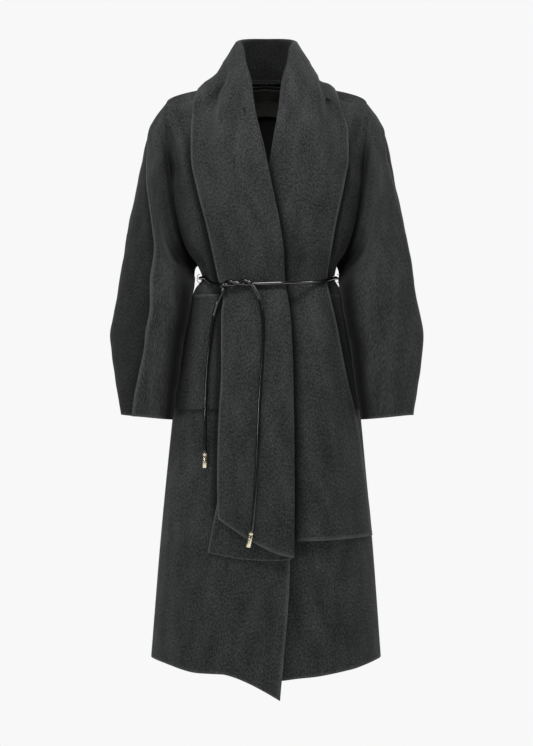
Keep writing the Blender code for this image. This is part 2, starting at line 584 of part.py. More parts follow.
def make_under_layer(look):
    rows = table(UNDER_COLUMNS, UNDER_ROWS)
    grid = []
    for s in np.linspace(0, len(UNDER_ROWS) - 1, 11):
        across = np.linspace(0, 1, 6)
        out = through(rows["roll_out"], s) * (1 - across) + through(rows["edge_out"], s) * across
        z = through(rows["roll_z"], s) * (1 - across) + through(rows["edge_z"], s) * across
        z = z - 0.006 * np.sin(pi * across) * ease(s, 4, 5)
        grid.append(front_at(-out, z, through(rows["lift"], s) + 0 * z))
    return panel("scarf_right_under", np.array(grid), look)


def make_pocket(side, look):
    name = "right" if side < 0 else "left"
    inner = POCKET_FROM[name]
    grid = []
    for z in np.linspace(POCKET_TOP, POCKET_BOTTOM, 8):
        half = through(SIDE[name], np.interp(-z, -SIDE["z"], np.arange(HEM_ROW + 1)))
        angle = np.linspace(np.arcsin(inner / half), radians(76), 8)
        x = side * (half + POCKET_LIFT) * np.sin(angle)
        grid.append(front_at(x, np.full_like(x, z), POCKET_LIFT))
    grid = np.array(grid)
    return panel("pocket_" + name, *oriented(grid, grid_normals(grid), look, side < 0))


def make_neck_patch(look):
    """Blank patch on the inside of the back, just under the neck seam."""
    x = np.linspace(-PATCH_WIDTH / 2, PATCH_WIDTH / 2, 5)
    wall = np.array([body(1, np.full_like(x, row), x) for row in np.linspace(*PATCH_ROWS, 5)])
    outward = -grid_normals(wall)
    grid = wall - outward * (CLOTH / 2 + PATCH_GAP + PATCH_THICK / 2)
    return panel("neck_patch", grid[:, ::-1], look, outward[:, ::-1], PATCH_THICK)


def make_hanger_loop(look):
    """Narrow strip on the inside of the collar's stand, by which the coat is hung up."""
    x = np.linspace(-HANGER_WIDTH / 2, HANGER_WIDTH / 2, 7)
    y = HANGER_Y - 0.010 * (x / (HANGER_WIDTH / 2)) ** 2
    grid = np.array([np.stack([x, y, np.full_like(x, z)], axis=-1) for z in HANGER_Z])
    return panel("hanger_loop", grid, look, grid_normals(grid), PATCH_THICK)


def waist_route():
    """The belt's way round the sides and back, between the ends of its two front stretches."""
    points = []
    for angle in np.linspace(radians(-66), radians(-90), 4):
        half = SIDE["right"][WAIST_ROW] + CORD_LIFT
        points.append(body(-1, float(WAIST_ROW), half * sin(angle), CORD_LIFT))
    for angle in np.linspace(radians(-76), radians(76), 15):
        side = "right" if angle < 0 else "left"
        half = SIDE[side][WAIST_ROW] + CORD_LIFT
        points.append(body(1, float(WAIST_ROW), half * sin(angle), CORD_LIFT))
    for angle in np.linspace(radians(90), radians(72), 4):
        half = SIDE["left"][WAIST_ROW] + CORD_LIFT
        points.append(body(-1, float(WAIST_ROW), half * sin(angle), CORD_LIFT))
    return [tuple(float(k) for k in point) for point in points]


def front_route(rows):
    """A stretch of the cord on the front, from its rows across, up and out."""
    route = table(ROUTE_COLUMNS, rows)
    return [tuple(float(k) for k in point) for point in front_at(route["x"], route["z"], route["lift"])]


def make_belt(leather, metal):
    route = front_route(BELT_FROM_KNOT) + waist_route() + front_route(BELT_TO_KNOT)
    tube("belt", smooth_route(route, 76), CORD, leather)
    for name, rows, count in (("long", BELT_END_LONG, 44), ("short", BELT_END_SHORT, 34)):
        points = front_route(rows)
        tube("belt_end_" + name, smooth_route(points, count), CORD, leather)
        make_tip("tip_" + name, Vector(points[-1]), (Vector(points[-1]) - Vector(points[-2])).normalized(), metal)


def make_tip(name, end, way, look):
    """A turned metal end with softened rims, just past the end of its cord."""
    solid = bmesh.new()
    profile = ((0.0, 0.72), (0.05, 1.0), (0.95, 1.0), (1.0, 0.72))
    across = way.orthogonal().normalized()
    other = way.cross(across)
    rings = []
    for along, wide in profile:
        middle = end + way * (SEAM + along * TIP_LENGTH)
        rings.append([solid.verts.new(middle + TIP_RADIUS * wide * (cos(a) * across + sin(a) * other))
                      for a in np.linspace(0, 2 * pi, 16, endpoint=False)])
    for upper, lower in zip(rings, rings[1:]):
        for i in range(16):
            j = (i + 1) % 16
            solid.faces.new((upper[i], upper[j], lower[j], lower[i]))
    solid.faces.new(rings[0][::-1])
    solid.faces.new(rings[-1])
    bmesh.ops.recalc_face_normals(solid, faces=solid.faces)
    mesh = bpy.data.meshes.new(name)
    solid.to_mesh(mesh)
    solid.free()
    mesh.shade_smooth()
    mesh.set_sharp_from_angle(angle=radians(40))
    return place(name, mesh, look)


def make_belt_loop(side, look):
    """A thread loop at the side seam, standing out round the belt."""
    name = "right" if side < 0 else "left"
    wall = SIDE[name][WAIST_ROW] + CLOTH / 2 + SEAM
    belt_z = SIDE["z"][WAIST_ROW]
    points = []
    for angle in np.linspace(-80, 80, 15):
        out = LOOP_OUT * cos(radians(angle)) ** 0.7
        points.append((side * (wall + THREAD + out + LOOP_FLARE * abs(angle) / 80), 0.0,
                       belt_z - LOOP_HALF * sin(radians(angle)) / sin(radians(80))))
    return tube("belt_loop_" + name, points, THREAD, look)


def main():
    clear_scene()
    wool = material("wool", (0.045, 0.047, 0.047), 0.9)
    satin = material("satin", (0.020, 0.020, 0.019), 0.45)
    thread = material("thread", (0.03, 0.03, 0.03), 0.8)
    leather = material("leather", (0.012, 0.012, 0.012), 0.35)
    metal = material("pale_gold", (0.83, 0.74, 0.55), 0.25, 1.0)
    make_back(wool)
    for side in (-1, 1):
        make_front(side, wool)
        make_sleeve(side, wool)
        make_collar(side, wool)
        make_pocket(side, wool)
        make_belt_loop(side, thread)
    make_under_layer(wool)
    make_neck_patch(satin)
    make_hanger_loop(wool)
    make_belt(leather, metal)


main()
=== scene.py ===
# %% [markdown]
# # A belted wrap coat in charcoal wool
# The coat stands filled out, as if someone wore it, with nobody in it.  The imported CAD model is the
# frame: it says how big everything is and where it sits.  This file replaces each plain solid in it
# with a finished piece: cloth with soft thick edges and its folds, leather cord, metal tips.

# %% Load the frame and keep its box
import json
from math import cos, pi, radians, sin

import bmesh
import bpy
import numpy as np
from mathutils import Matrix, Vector

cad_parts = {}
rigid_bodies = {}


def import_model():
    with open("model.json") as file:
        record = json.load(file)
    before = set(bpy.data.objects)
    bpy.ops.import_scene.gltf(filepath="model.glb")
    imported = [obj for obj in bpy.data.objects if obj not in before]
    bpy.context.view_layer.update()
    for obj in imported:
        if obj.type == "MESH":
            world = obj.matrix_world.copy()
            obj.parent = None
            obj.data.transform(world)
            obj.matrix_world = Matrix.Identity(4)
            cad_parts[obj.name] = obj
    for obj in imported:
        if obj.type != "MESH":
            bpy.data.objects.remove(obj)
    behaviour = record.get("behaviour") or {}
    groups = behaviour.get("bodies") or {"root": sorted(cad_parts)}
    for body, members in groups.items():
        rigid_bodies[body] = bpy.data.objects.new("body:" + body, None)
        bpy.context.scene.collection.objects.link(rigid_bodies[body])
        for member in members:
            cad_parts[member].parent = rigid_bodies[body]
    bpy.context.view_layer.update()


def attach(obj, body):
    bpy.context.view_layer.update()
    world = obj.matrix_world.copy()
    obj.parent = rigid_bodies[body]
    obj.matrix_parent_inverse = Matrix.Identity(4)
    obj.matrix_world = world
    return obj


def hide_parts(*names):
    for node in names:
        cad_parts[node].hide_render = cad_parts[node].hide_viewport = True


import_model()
bpy.ops.object.select_all(action="DESELECT")

# %% [markdown]
# ## The camera, the floor and the light
# A coat is shown from straight in front, from far enough away that nothing looks stretched.  The
# camera is level with the middle of the coat.  The background is a pale sky of even light, and the
# floor fades into it, so that no horizon shows.  The sky itself gives only a little of the light.
# The main light hangs high in front and brightens what tilts up to it, such as the lapels.  One at
# each side models the sleeves, a small low one draws the bright line along the leather cord, and a
# large one behind the coat lights its back.

# %% Camera, sky, floor and lights
DISTANCE = 4.0               # from the lens to the middle of the coat
VIEW_HEIGHT = 1.492          # how much of the coat's plane the picture spans, top to bottom
MIDDLE = -0.566              # height of the lens
PALE = 0.939                 # brightness of the background
FILL = 0.07                  # brightness of the sky as a light
FLOOR = -1.46                # height of the floor
FADE = (0.10, 0.70)          # distances over which the floor turns into the sky
# name, place, point it is aimed at, width, watts
LIGHTS = (
    ("above_front", (-0.1, -1.00, 1.40), (0, 0, -0.10), 0.6, 24.0),
    ("left_side", (-1.8, -1.2, 1.4), (0, 0, -0.15), 0.6, 16.0),
    ("right_side", (1.9, -1.3, 1.5), (0, 0, -0.15), 0.6, 15.0),
    ("low_left", (-2.2, -2.4, -0.15), (0, 0, -0.40), 0.30, 6.5),
    ("from_behind", (0.8, 2.6, 1.5), (0, 0, -0.40), 1.6, 34.0),
)


def camera_and_stage():
    scene = bpy.context.scene
    scene.view_settings.view_transform = "Standard"
    lens = bpy.data.cameras.new("camera")
    lens.sensor_fit = "VERTICAL"
    lens.sensor_height = 36.0
    lens.lens = 36.0 * DISTANCE / VIEW_HEIGHT
    camera = bpy.data.objects.new("camera", lens)
    camera.location = (0.0, -DISTANCE, MIDDLE)
    camera.rotation_euler = (radians(90), 0.0, 0.0)
    scene.collection.objects.link(camera)
    scene.camera = camera

    sky = bpy.data.worlds.new("sky")
    sky.use_nodes = True
    seen = sky.node_tree.nodes["Background"]
    seen.inputs["Color"].default_value = (1.0, 1.0, 1.0, 1.0)
    seen.inputs["Strength"].default_value = PALE
    fill = sky.node_tree.nodes.new("ShaderNodeBackground")
    fill.inputs["Color"].default_value = (0.97, 0.99, 1.0, 1.0)
    fill.inputs["Strength"].default_value = FILL
    ray = sky.node_tree.nodes.new("ShaderNodeLightPath")
    choose = sky.node_tree.nodes.new("ShaderNodeMixShader")
    join = sky.node_tree.links.new
    join(ray.outputs["Is Camera Ray"], choose.inputs["Fac"])
    join(fill.outputs["Background"], choose.inputs[1])
    join(seen.outputs["Background"], choose.inputs[2])
    join(choose.outputs["Shader"], sky.node_tree.nodes["World Output"].inputs["Surface"])
    scene.world = sky

    bpy.ops.mesh.primitive_circle_add(vertices=96, radius=12.0, fill_type="NGON", location=(0, 0, FLOOR))
    floor = bpy.context.object
    floor.name = "floor"
    bpy.ops.object.transform_apply(location=True, rotation=True, scale=True)
    floor.data.materials.append(pale_floor())

    for name, place, aim, size, power in LIGHTS:
        data = bpy.data.lights.new(name, "AREA")
        data.shape = "SQUARE"
        data.size = size
        data.energy = power
        light = bpy.data.objects.new(name, data)
        light.location = place
        light.rotation_euler = (Vector(aim) - Vector(place)).to_track_quat("-Z", "Y").to_euler()
        scene.collection.objects.link(light)


def pale_floor():
    """Takes a soft shadow under the coat, and turns into the sky's own brightness further out."""
    made = bpy.data.materials.new("pale_floor")
    made.use_nodes = True
    nodes, links = made.node_tree.nodes, made.node_tree.links
    shader = nodes["Principled BSDF"]
    shader.inputs["Base Color"].default_value = (0.90, 0.90, 0.90, 1.0)
    shader.inputs["Roughness"].default_value = 0.9
    shader.inputs["Specular IOR Level"].default_value = 0.0
    glow = nodes.new("ShaderNodeEmission")
    glow.inputs["Color"].default_value = (1.0, 1.0, 1.0, 1.0)
    glow.inputs["Strength"].default_value = PALE
    place = nodes.new("ShaderNodeTexCoord")
    length = nodes.new("ShaderNodeVectorMath")
    length.operation = "LENGTH"
    flat = nodes.new("ShaderNodeVectorMath")
    flat.operation = "MULTIPLY"
    flat.inputs[1].default_value = (1.0, 1.0, 0.0)
    fade = nodes.new("ShaderNodeMapRange")
    fade.interpolation_type = "SMOOTHSTEP"
    fade.inputs["From Min"].default_value, fade.inputs["From Max"].default_value = FADE
    mix = nodes.new("ShaderNodeMixShader")
    links.new(place.outputs["Object"], flat.inputs[0])
    links.new(flat.outputs["Vector"], length.inputs[0])
    links.new(length.outputs["Value"], fade.inputs["Value"])
    links.new(fade.outputs["Result"], mix.inputs["Fac"])
    links.new(shader.outputs["BSDF"], mix.inputs[1])
    links.new(glow.outputs["Emission"], mix.inputs[2])
    links.new(mix.outputs["Shader"], nodes["Material Output"].inputs["Surface"])
    return made


camera_and_stage()
print("camera at", tuple(bpy.context.scene.camera.location))

# %% [markdown]
# ## The coat's own form
# Every panel lies on one surface, the shape that the coat takes when it is filled out.  It is given
# as sections from the shoulder to the hem: how far out the sides are, and how deep the front and
# the back are in the middle.  Smooth curves run through the rows.  The same tables made the CAD
# solids, so the fine cloth here lies exactly where the solids are.

# %% Sections of the body
CLOTH = 0.003                # wall of the double-faced wool
CORD = 0.0034                # radius of the belt's leather cord
SIDE_COLUMNS = ("z", "right", "left", "front", "back")
SIDE_ROWS = (
    (-0.026, 0.2000, 0.2000, 0.010, 0.010),      # shoulder
    (-0.039, 0.2015, 0.2015, -0.014, 0.030),
    (-0.061, 0.2010, 0.2010, -0.025, 0.042),
    (-0.095, 0.1980, 0.1980, -0.024, 0.046),
    (-0.130, 0.1960, 0.1960, -0.018, 0.047),
    (-0.180, 0.1900, 0.1900, -0.010, 0.042),     # chest
    (-0.235, 0.1820, 0.1820, -0.010, 0.033),
    (-0.285, 0.1710, 0.1710, -0.009, 0.022),
    (-0.325, 0.1550, 0.1560, -0.0095, 0.010),
    (-0.350, 0.1370, 0.1400, 0.000, 0.000),      # underarm
    (-0.377, 0.1270, 0.1345, 0.000, 0.000),      # waist, under the belt
    (-0.400, 0.1420, 0.1460, 0.000, 0.000),
    (-0.470, 0.1610, 0.1650, 0.000, 0.000),
    (-0.620, 0.1820, 0.1835, 0.000, 0.000),      # hip
    (-0.750, 0.1960, 0.1960, 0.000, 0.000),
    (-0.900, 0.2105, 0.2100, 0.000, 0.000),
    (-1.131, 0.2290, 0.2270, 0.000, 0.000),      # hem
)
MIDDLE_COLUMNS = ("front_z", "front", "back_z", "back", "full", "blunt", "drop")
MIDDLE_ROWS = (
    (0.0180, 0.075, 0.0180, 0.075, 2.2, 8.0, 0.48),
    (0.0150, -0.023, -0.012, 0.090, 2.0, 1.0, 1.2),
    (-0.007, -0.056, -0.038, 0.098, 2.0, 1.0, 1.2),
    (-0.054, -0.084, -0.080, 0.105, 2.0, 1.0, 1.2),
    (-0.112, -0.104, -0.120, 0.108, 2.0, 0.75, 1.2),
    (-0.178, -0.112, -0.178, 0.108, 2.0, 0.58, 1.2),
    (-0.235, -0.114, -0.235, 0.104, 2.0, 0.48, 1.2),
    (-0.285, -0.113, -0.285, 0.098, 2.0, 0.44, 1.2),
    (-0.327, -0.109, -0.323, 0.092, 2.0, 0.45, 1.2),
    (-0.356, -0.104, -0.347, 0.087, 2.1, 0.49, 1.2),
    (-0.390, -0.0985, -0.373, 0.082, 2.2, 0.48, 1.2),
    (-0.412, -0.103, -0.397, 0.087, 2.2, 0.48, 1.2),
    (-0.475, -0.117, -0.470, 0.105, 2.2, 0.48, 1.2),
    (-0.620, -0.133, -0.620, 0.129, 2.15, 0.48, 1.2),
    (-0.750, -0.142, -0.750, 0.139, 2.1, 0.49, 1.2),
    (-0.900, -0.149, -0.900, 0.147, 2.1, 0.49, 1.2),
    (-1.131, -0.156, -1.131, 0.155, 2.1, 0.49, 1.2),
)
UNDERARM_ROW, WAIST_ROW, HEM_ROW = 9, 10, 16
# Folds that fall from the belt, on the front (-1) or back (+1), as soft troughs.
FOLD_COLUMNS = ("face", "top_x", "top_z", "end_x", "end_z", "width", "depth")
FOLD_ROWS = (
    (-1, -0.108, -0.395, -0.125, -0.900, 0.018, 0.0045),
    (-1, 0.128, -0.400, 0.165, -0.860, 0.016, 0.0035),
    (1, -0.070, -0.390, -0.105, -1.050, 0.022, 0.0080),
    (1, 0.015, -0.385, 0.030, -1.120, 0.020, 0.0070),
    (1, 0.082, -0.390, 0.135, -1.000, 0.020, 0.0065),
    (1, -0.030, -0.360, -0.045, -0.140, 0.018, 0.0050),
    (1, 0.055, -0.362, 0.085, -0.180, 0.018, 0.0045),
)


def table(columns, rows):
    """The columns of a table by name."""
    values = np.array(rows, dtype=float)
    return {name: values[:, i] for i, name in enumerate(columns)}


def through(values, at):
    """A smooth curve through a column's values, one apart, that never overshoots them."""
    values = np.asarray(values, dtype=float)
    slope = np.diff(values, axis=0)
    tangent = np.zeros_like(values)
    tangent[0], tangent[-1] = slope[0], slope[-1]
    same = slope[:-1] * slope[1:] > 0
    total = np.where(same, slope[:-1] + slope[1:], 1.0)
    tangent[1:-1] = np.where(same, 2 * slope[:-1] * slope[1:] / total, 0.0)
    at = np.clip(at, 0, len(values) - 1)
    i = np.clip(np.floor(at).astype(int), 0, len(values) - 2)
    u = at - i
    return ((1 + 2 * u) * (1 - u) ** 2 * values[i] + u * (1 - u) ** 2 * tangent[i]
            + u * u * (3 - 2 * u) * values[i + 1] - u * u * (1 - u) * tangent[i + 1])


def ease(value, start, end):
    """0 up to start, 1 from end on, and smooth between them."""
    t = np.clip((value - start) / (end - start), 0, 1)
    return t * t * (3 - 2 * t)


def unit(vector):
    return vector / np.linalg.norm(vector, axis=-1, keepdims=True)


SIDE = table(SIDE_COLUMNS, SIDE_ROWS)
MID = table(MIDDLE_COLUMNS, MIDDLE_ROWS)
FOLDS = table(FOLD_COLUMNS, FOLD_ROWS)
print("body:", len(SIDE_ROWS), "sections,", len(FOLD_ROWS), "folds")


# %% The body's surface
def folds(face, x, z):
    """Depth of the soft troughs at a place on the front or the back."""
    depth = np.zeros_like(x)
    for i in np.flatnonzero(FOLDS["face"] == face):
        along = (z - FOLDS["top_z"][i]) / (FOLDS["end_z"][i] - FOLDS["top_z"][i])
        middle = FOLDS["top_x"][i] + along * (FOLDS["end_x"][i] - FOLDS["top_x"][i])
        width = FOLDS["width"][i] * (0.6 + 0.8 * np.clip(along, 0, 1))
        run = ease(along, 0.0, 0.12) * (1 - ease(along, 0.45, 1.0))
        depth += FOLDS["depth"][i] * run * np.exp(-((x - middle) / width) ** 2)
    return depth


def body(face, row, x, lift=0.0):
    """Points on the front (-1) or back (+1) at a section, x across, out by lift."""
    name = "front" if face < 0 else "back"
    half = np.where(x < 0, through(SIDE["right"], row), through(SIDE["left"], row)) + lift
    t = np.clip(np.abs(x) / half, 0, 1)
    side_y = through(SIDE[name], row)
    middle_y = through(MID[name], row) + face * lift
    side_z = through(SIDE["z"], row)
    middle_z = through(MID[name + "_z"], row)
    round_off = (1 - t ** through(MID["full"], row)) ** through(MID["blunt"], row)
    z = side_z + (middle_z - side_z) * (1 - t) ** through(MID["drop"], row)
    y = side_y + (middle_y - side_y) * round_off
    return np.stack([x + 0 * y, y - face * folds(face, x, z) * (1 - t ** 4), z + 0 * y], axis=-1)


def front_at(x, z, lift):
    """The front's point at a place seen from the front, out by lift."""
    low = np.zeros_like(x)
    high = np.full_like(x, HEM_ROW)
    for _ in range(26):
        middle = (low + high) / 2
        above = body(-1, middle, x, lift)[..., 2] > z
        low = np.where(above, middle, low)
        high = np.where(above, high, middle)
    point = body(-1, low, x, lift)
    point[..., 2] = z
    return point


print("front at the waist:", front_at(np.array([0.0]), np.array([-0.39]), 0.0)[0].round(4))

# %% [markdown]
# ## The belt and its two hanging ends
# The belt is a round leather cord of 6.8 mm.  It goes round the waist once, and its two ends cross
# twice in a half knot and hang down.  A cord like this is a fixed length of something bendy, so it
# is drawn as a tube along a given route: where it lies on the front, each point says how
# far out from the front it is, so that one strand really passes over the other.

# %% Routes of the cord
LIFT_ON, LIFT_OVER = 0.0172, 0.0256
CORD_LIFT = CLOTH / 2 + CORD + 0.001      # middle of the cord where it lies on the cloth
CORD_STEP = 0.0025           # distance between the rings of its tube
ROUTE_COLUMNS = ("x", "z", "lift")
BELT_FROM_KNOT = (
    (-0.0591, -0.3925, LIFT_ON), (-0.0612, -0.3934, LIFT_ON), (-0.0690, -0.3949, 0.0203),
    (-0.0780, -0.3948, LIFT_OVER), (-0.0870, -0.3937, 0.0248), (-0.1010, -0.3905, 0.0150),
    (-0.1120, -0.3865, 0.0090),
)
BELT_TO_KNOT = (
    (0.1200, -0.3832, 0.0142), (0.1080, -0.3866, 0.0156), (0.0850, -0.3890, 0.0160),
    (0.0550, -0.3905, 0.0176), (0.0310, -0.3913, 0.0194), (0.0000, -0.3925, 0.0176),
    (-0.0200, -0.3930, LIFT_ON), (-0.0320, -0.3933, LIFT_ON),
)
BELT_END_LONG = (
    (-0.0582, -0.3921, LIFT_ON), (-0.0562, -0.3912, LIFT_ON), (-0.0500, -0.3874, 0.0180),
    (-0.0420, -0.3862, 0.0218), (-0.0325, -0.3905, LIFT_OVER), (-0.0240, -0.4010, 0.0240),
    (-0.0160, -0.4155, 0.0215), (-0.0106, -0.4328, 0.0205), (-0.0071, -0.4541, 0.0205),
    (-0.0060, -0.4792, 0.0205), (-0.0071, -0.5139, 0.0205), (-0.0095, -0.5602, 0.0205),
    (-0.0133, -0.6181, 0.0205), (-0.0158, -0.6760, 0.0205), (-0.0183, -0.7378, 0.0210),
    (-0.0222, -0.8015, 0.0215), (-0.0268, -0.8574, 0.0215), (-0.0290, -0.8719, 0.0215),
)
BELT_END_SHORT = (
    (-0.0328, -0.3934, LIFT_ON), (-0.0350, -0.3935, LIFT_ON), (-0.0420, -0.3938, 0.0190),
    (-0.0510, -0.3927, 0.0238), (-0.0610, -0.3900, LIFT_OVER), (-0.0705, -0.3876, 0.0243),
    (-0.0775, -0.3886, 0.0195), (-0.0808, -0.3942, 0.0168), (-0.0822, -0.4010, 0.0168),
    (-0.0878, -0.4116, 0.0172), (-0.0965, -0.4309, 0.0160), (-0.1023, -0.4521, 0.0125),
    (-0.1071, -0.4830, 0.0118), (-0.1119, -0.5216, 0.0118), (-0.1158, -0.5641, 0.0118),
    (-0.1179, -0.6085, 0.0118), (-0.1187, -0.6500, 0.0120), (-0.1190, -0.6900, 0.0105),
    (-0.1191, -0.7214, 0.0095),
)


def front_route(rows):
    route = table(ROUTE_COLUMNS, rows)
    return list(front_at(route["x"], route["z"], route["lift"]))


def waist_route():
    """The belt's way round the sides and back, between its two front stretches."""
    points = []
    for face, low, high, count in ((-1, -66, -90, 4), (1, -76, 76, 15), (-1, 90, 72, 4)):
        for angle in np.radians(np.linspace(low, high, count)):
            half = SIDE["right" if angle < 0 else "left"][WAIST_ROW] + CORD_LIFT
            points.append(body(face, float(WAIST_ROW), half * sin(angle), CORD_LIFT))
    return points


def smooth_route(points, step):
    """Evenly spaced points on a smooth curve through a cord's route."""
    route = np.array(points)
    route = np.vstack([route[:1], route, route[-1:]])
    u = np.linspace(0, 1, 12, endpoint=False)[:, None]
    fine = [0.5 * (2 * a + (b - before) * u + (2 * before - 5 * a + 4 * b - after) * u ** 2
                   + (3 * a - before - 3 * b + after) * u ** 3)
            for before, a, b, after in zip(route, route[1:], route[2:], route[3:])]
    fine = np.vstack(fine + [route[-1:]])
    length = np.concatenate([[0], np.cumsum(np.linalg.norm(np.diff(fine, axis=0), axis=1))])
    wanted = np.linspace(0, length[-1], int(round(length[-1] / step)) + 1)
    return np.stack([np.interp(wanted, length, fine[:, k]) for k in range(3)], axis=-1), length[-1]


ROUND_WAIST, WAIST_LENGTH = smooth_route(front_route(BELT_FROM_KNOT) + waist_route()
                                         + front_route(BELT_TO_KNOT), CORD_STEP)
LONG_END, LONG_LENGTH = smooth_route(front_route(BELT_END_LONG), CORD_STEP)
SHORT_END, SHORT_LENGTH = smooth_route(front_route(BELT_END_SHORT), CORD_STEP)
print(f"cord round the waist {WAIST_LENGTH:.3f} m, ends {LONG_LENGTH:.3f} and {SHORT_LENGTH:.3f} m")


# %% A tube along a route
def place_mesh(name, shape, look):
    """A smooth object from a finished bmesh."""
    mesh = bpy.data.meshes.new(name)
    shape.to_mesh(mesh)
    shape.free()
    mesh.shade_smooth()
    mesh.materials.append(look)
    piece = bpy.data.objects.new(name, mesh)
    bpy.context.scene.collection.objects.link(piece)
    return piece


def dress(piece, node):
    """Put a finished piece in place of its plain solid."""
    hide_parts(node)
    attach(piece, "root")


def tube(name, route, radius, look, sides=16, swell=None):
    """A cord with rounded ends.  Its UVs run round it and, in metres, along it."""
    route = np.asarray(route)
    ahead = unit(np.gradient(route, axis=0))
    across = [np.array(Vector(ahead[0]).orthogonal().normalized())]
    for way in ahead[1:]:
        turned = across[-1] - way * np.dot(across[-1], way)
        across.append(turned / np.linalg.norm(turned))
    across = np.array(across)
    other = np.cross(ahead, across)
    along = np.concatenate([[0], np.cumsum(np.linalg.norm(np.diff(route, axis=0), axis=1))])
    width = np.full(len(route), radius) if swell is None else radius * swell(along)
    width[0] *= 0.86
    width[-1] *= 0.86
    shape = bmesh.new()
    uv = shape.loops.layers.uv.new("cut")
    turn = np.linspace(0, 2 * pi, sides, endpoint=False)
    rings = [[shape.verts.new(p + w * (cos(a) * u + sin(a) * v)) for a in turn]
             for p, w, u, v in zip(route, width, across, other)]
    for k, (lower, upper) in enumerate(zip(rings, rings[1:])):
        for i in range(sides):
            j = (i + 1) % sides
            face = shape.faces.new((lower[i], lower[j], upper[j], upper[i]))
            for loop, (u, v) in zip(face.loops, ((i, k), (i + 1, k), (i + 1, k + 1), (i, k + 1))):
                loop[uv].uv = (u / sides, along[v])
    shape.faces.new(rings[0][::-1])
    shape.faces.new(rings[-1])
    return place_mesh(name, shape, look)


# %% [markdown]
# ## Black leather
# A round leather cord is a strip rolled and glued, then dyed and waxed.  It is nearly black, and
# what shows is its gloss: a thin bright line along its top, broken up a little by the grain and by
# fine wrinkles across it where it bends.  The pattern follows the cord through its UVs.

# %% Leather material
def new_material(name, roughness, specular, metallic=0.0):
    made = bpy.data.materials.new(name)
    made.use_nodes = True
    shader = made.node_tree.nodes["Principled BSDF"]
    shader.inputs["Roughness"].default_value = roughness
    shader.inputs["Specular IOR Level"].default_value = specular
    shader.inputs["Metallic"].default_value = metallic
    return made, made.node_tree.nodes, made.node_tree.links, shader


def stretched(nodes, links, scale, source="UV"):
    """The piece's own coordinates, stretched so that a pattern gets the size it needs."""
    place = nodes.new("ShaderNodeTexCoord")
    mapping = nodes.new("ShaderNodeMapping")
    mapping.inputs["Scale"].default_value = scale
    links.new(place.outputs[source], mapping.inputs["Vector"])
    return mapping.outputs["Vector"]


def noise(nodes, links, vector, scale, detail=3.0, rough=0.6):
    made = nodes.new("ShaderNodeTexNoise")
    made.inputs["Scale"].default_value = scale
    made.inputs["Detail"].default_value = detail
    made.inputs["Roughness"].default_value = rough
    links.new(vector, made.inputs["Vector"])
    return made.outputs["Fac"]


def ramp(nodes, links, source, stops):
    made = nodes.new("ShaderNodeValToRGB")
    while len(made.color_ramp.elements) < len(stops):
        made.color_ramp.elements.new(0.5)
    for element, (at, colour) in zip(made.color_ramp.elements, stops):
        element.position = at
        element.color = (*colour, 1.0) if isinstance(colour, tuple) else (colour, colour, colour, 1.0)
    links.new(source, made.inputs["Fac"])
    return made.outputs["Color"]


def add_up(nodes, links, first, second, share):
    """first + share * second."""
    made = nodes.new("ShaderNodeMath")
    made.operation = "MULTIPLY_ADD"
    made.inputs[1].default_value = share
    links.new(second, made.inputs[0])
    links.new(first, made.inputs[2])
    return made.outputs["Value"]


def mix(nodes, links, factor, first, second, blend="MIX"):
    """Two colours mixed.  Each input is another node's output or a constant."""
    made = nodes.new("ShaderNodeMix")
    made.data_type = "RGBA"
    made.blend_type = blend
    for name, value in (("Factor", factor), ("A", first), ("B", second)):
        if isinstance(value, bpy.types.NodeSocket):
            links.new(value, made.inputs[name])
        else:
            made.inputs[name].default_value = value
    return made.outputs["Result"]


def attribute(nodes, name):
    made = nodes.new("ShaderNodeAttribute")
    made.attribute_name = name
    return made.outputs["Fac"]


def bump(nodes, links, shader, height, distance, strength=1.0):
    made = nodes.new("ShaderNodeBump")
    made.inputs["Distance"].default_value = distance
    made.inputs["Strength"].default_value = strength
    links.new(height, made.inputs["Height"])
    links.new(made.outputs["Normal"], shader.inputs["Normal"])


def leather():
    made, nodes, links, shader = new_material("black_leather", 0.3, 1.0)
    grain_at = stretched(nodes, links, (0.0214, 1.0, 1.0))
    grain = nodes.new("ShaderNodeTexVoronoi")
    grain.inputs["Scale"].default_value = 1500.0
    links.new(grain_at, grain.inputs["Vector"])
    wrinkles = noise(nodes, links, stretched(nodes, links, (0.006, 1.0, 1.0)), 420.0, 3.0, 0.55)
    cloud = noise(nodes, links, grain_at, 90.0, 2.0)
    links.new(ramp(nodes, links, cloud, ((0.3, (0.0020, 0.0020, 0.0020)), (0.75, (0.0050, 0.0048, 0.0046)))),
              shader.inputs["Base Color"])
    links.new(ramp(nodes, links, cloud, ((0.3, 0.13), (0.75, 0.19))), shader.inputs["Roughness"])
    bump(nodes, links, shader, add_up(nodes, links, grain.outputs["Distance"], wrinkles, 1.4), 0.00008, 0.1)
    return made


LEATHER = leather()
print("material:", LEATHER.name)

# %% [markdown]
# ## The cord's metal tips
# Each end of the cord is finished with a turned metal tube, plated in pale gold.  On a lathe such a
# tip is faced off square, its rims are eased, and a shallow groove is cut near the mouth.  Here a
# cylinder gets the same cuts: its ends are inset and pushed in, its rims bevelled.

# %% Gold material and the tips
TIP_RADIUS, TIP_LENGTH = 0.0046, 0.029
RIM_WIDTH, RIM_DEPTH = 0.0011, 0.0009            # of the rim round each end
GROOVE_TOP, GROOVE_FOOT, GROOVE_DEPTH = 0.0045, 0.0052, 0.00028      # down from the mouth
TIP_LAP = 0.0004                                 # how far the tip reaches over the cord's end
TAPER, TAPER_REACH = 0.05, 0.004                 # of the cord as it goes into its tip


